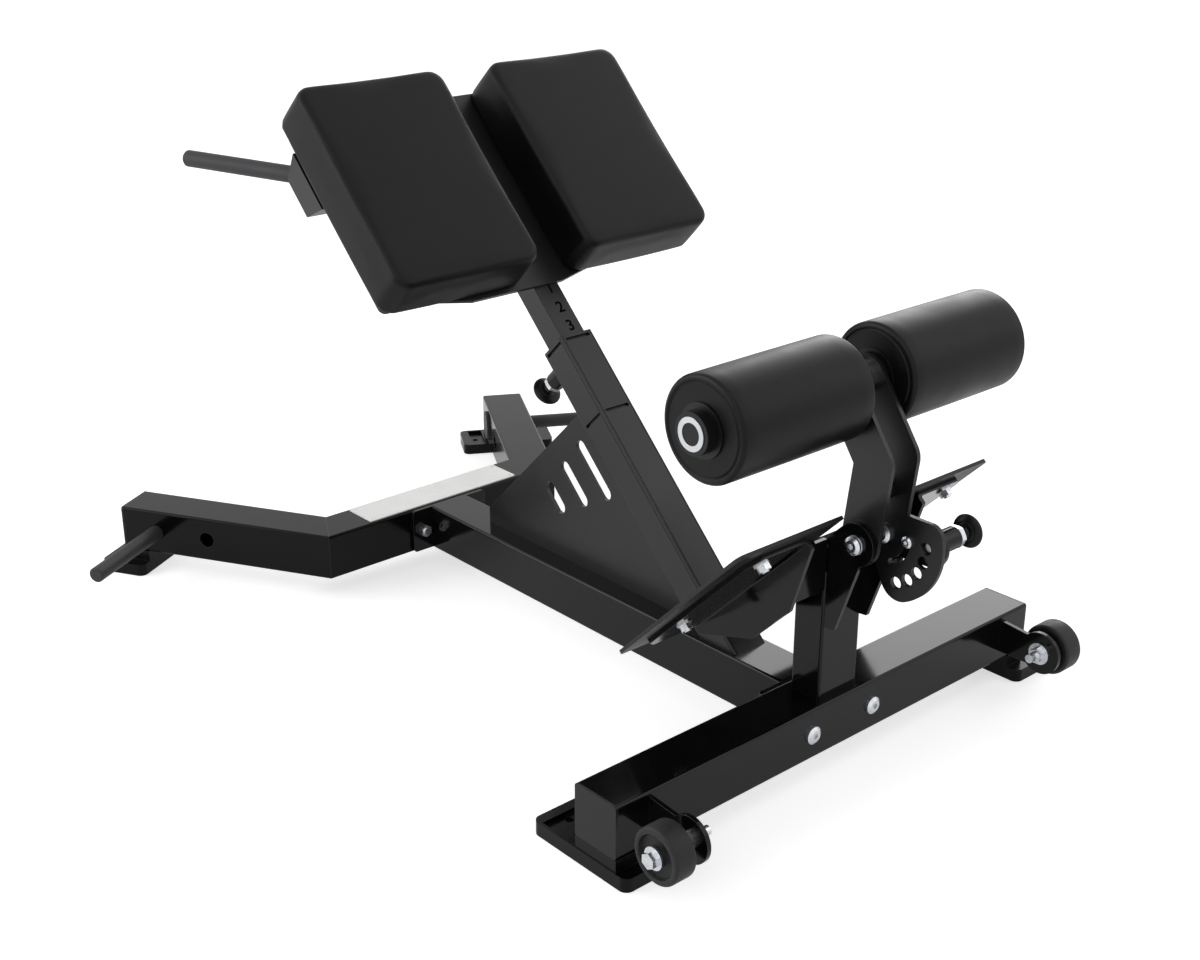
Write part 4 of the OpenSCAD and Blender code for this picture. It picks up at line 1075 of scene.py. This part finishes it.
@dataclass
class HeightNumbers:
    """The numbers beside the height holes of the inner post, with lengths in millimetres.

    A digit's height is font_share of its font's size, and its lines are made bolder on each side.
    """

    at: tuple[tuple[str, float], ...] = (("1", 620.8), ("2", 586.2), ("3", 553.3))
    x: float = 3.5
    tall: float = 18.0
    font_share: float = 0.7
    bolder: float = 0.55
    face: float = -6.6
    lift: float = 0.05

    def build(self, box: Paintbox) -> int:
        """Writes the numbers on the post's rear face.

        Args:
            box: the finishes.

        Returns:
            How many numbers there are.
        """
        for digit, s in self.at:
            deselect()
            bpy.ops.object.text_add()
            text = bpy.context.object
            text.data.body = digit
            text.data.size = self.tall * MM / self.font_share
            text.data.offset = self.bolder * MM
            text.data.align_x, text.data.align_y = "CENTER", "CENTER"
            bpy.ops.object.convert(target="MESH")
            number = bpy.context.object
            number.name = f"height_number_{digit}"
            settle(number, Place.POST.matrix() @ moved(self.x, s, self.face + self.lift))
            box.paint(number, box.ink)
            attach(number, "pad_carriage")
        return len(self.at)


# ------------------------------------------------------------------ the studio

@dataclass(frozen=True)
class Softbox:
    """A square lamp: its place and side in metres, and its power in watts."""

    spot: Point
    size: float
    power: float


@dataclass
class Studio:
    """White room, pale floor, soft lamps and the camera at the photograph's place.

    Lengths are in metres, the lens and its film in millimetres. ambient is the white room's light
    on the bench, against 1 for the eye. The floor shines by floor_seen for the camera and by
    floor_mirrored in reflections.
    """

    eye: Point = (-1.574797, -1.327754, 1.259511)
    turn: Point = (67.515, 0.0, -41.373)
    lens: float = 50.957
    film: float = 36.0
    ambient: float = 0.55
    floor_size: float = 40.0
    floor_top: float = -0.0002
    floor_grey: float = 0.82
    floor_seen: float = 0.6
    floor_mirrored: float = 0.3
    aim: Point = (0.0, 0.5, 0.4)
    lamps: tuple[Softbox, ...] = (
        Softbox((-2.6, -1.2, 3.2), 2.6, 14.0), Softbox((2.4, -2.0, 2.6), 2.4, 10.0),
        Softbox((4.0, 2.4, 2.1), 2.6, 62.0), Softbox((-3.2, 2.6, 1.8), 2.8, 60.0))

    def camera(self) -> None:
        """Puts the camera where the photograph was taken."""
        data = bpy.data.cameras.new("camera")
        data.sensor_fit, data.sensor_width, data.lens = "HORIZONTAL", self.film, self.lens
        data.clip_end = 100.0
        camera = bpy.data.objects.new("camera", data)
        camera.location = self.eye
        camera.rotation_euler = [math.radians(a) for a in self.turn]
        bpy.context.scene.collection.objects.link(camera)
        bpy.context.scene.camera = camera

    def seen(self, tree: Tree) -> Socket:
        """Tells the rays that see the white room from those that only light the object.

        Args:
            tree: a world's or material's nodes.

        Returns:
            1 for camera, glossy and transmission rays, otherwise 0.
        """
        path = add_node(tree, "ShaderNodeLightPath").outputs
        both = add_node(tree, "ShaderNodeMath",
                        {0: path["Is Camera Ray"], 1: path["Is Glossy Ray"]},
                        operation="MAXIMUM").outputs[0]
        return add_node(tree, "ShaderNodeMath", {0: both, 1: path["Is Transmission Ray"]},
                        operation="MAXIMUM").outputs[0]

    def room(self) -> None:
        """Makes the white surround."""
        world = bpy.data.worlds.new("white_room")
        world.use_nodes = True
        bpy.context.scene.world = world
        tree = world.node_tree
        tree.nodes.clear()
        level = add_node(tree, "ShaderNodeMapRange",
                         {"Value": self.seen(tree), "To Min": self.ambient}).outputs["Result"]
        air = add_node(tree, "ShaderNodeBackground", {"Color": WHITE, "Strength": level})
        add_node(tree, "ShaderNodeOutputWorld", {"Surface": air.outputs["Background"]})

    def floor(self) -> None:
        """Makes the pale floor, lifted to white for the camera and for reflections."""
        deselect()
        bpy.ops.mesh.primitive_plane_add(size=self.floor_size, location=(0, 0, self.floor_top))
        floor = bpy.context.object
        floor.name = "floor"
        material = bpy.data.materials.new("pale_floor")
        material.use_nodes = True
        tree = material.node_tree
        tree.nodes.clear()
        camera = add_node(tree, "ShaderNodeLightPath").outputs["Is Camera Ray"]
        level = add_node(tree, "ShaderNodeMapRange",
                         {"Value": camera, "To Min": self.floor_mirrored,
                          "To Max": self.floor_seen}).outputs["Result"]
        lift = add_node(tree, "ShaderNodeMath", {0: self.seen(tree), 1: level},
                        operation="MULTIPLY").outputs[0]
        shader = add_node(tree, "ShaderNodeBsdfPrincipled",
                          {"Base Color": (*[self.floor_grey] * 3, 1.0), "Roughness": 0.9,
                           "Specular IOR Level": 0.1, "Emission Color": WHITE,
                           "Emission Strength": lift})
        add_node(tree, "ShaderNodeOutputMaterial", {"Surface": shader.outputs["BSDF"]})
        floor.data.materials.append(material)

    def light(self) -> None:
        """Hangs the soft lamps, each aimed at the middle of the bench."""
        for number, box in enumerate(self.lamps):
            data = bpy.data.lights.new(f"softbox_{number}", "AREA")
            data.shape, data.size, data.energy = "SQUARE", box.size, box.power
            lamp = bpy.data.objects.new(data.name, data)
            lamp.location = box.spot
            look = Vector(self.aim) - Vector(box.spot)
            lamp.rotation_euler = look.to_track_quat("-Z", "Y").to_euler()
            bpy.context.scene.collection.objects.link(lamp)

    def build(self) -> None:
        """Makes the whole studio and sets the plain view."""
        bpy.context.scene.view_settings.view_transform = "Standard"
        self.camera()
        self.room()
        self.floor()
        self.light()


def main() -> None:
    """Builds the studio and the bench, piece by piece."""
    logging.basicConfig(level=logging.INFO, format="%(message)s")
    Studio().build()
    box = Paintbox()
    LOG.info("nodes finished: %d", Steelwork().dress(box))
    LOG.info("hip pads: %d", HipPads().build(box))
    LOG.info("foam rollers: %d", FoamRollers().build(box))
    LOG.info("wheels: %d", Wheels().build(box))
    LOG.info("locking pins and housings: %d", LockingPins().build(box))
    LOG.info("tread bars: %d", DeckTread().build(box))
    LOG.info("numbers: %d", HeightNumbers().build(box))


if __name__ == "__main__":
    main()
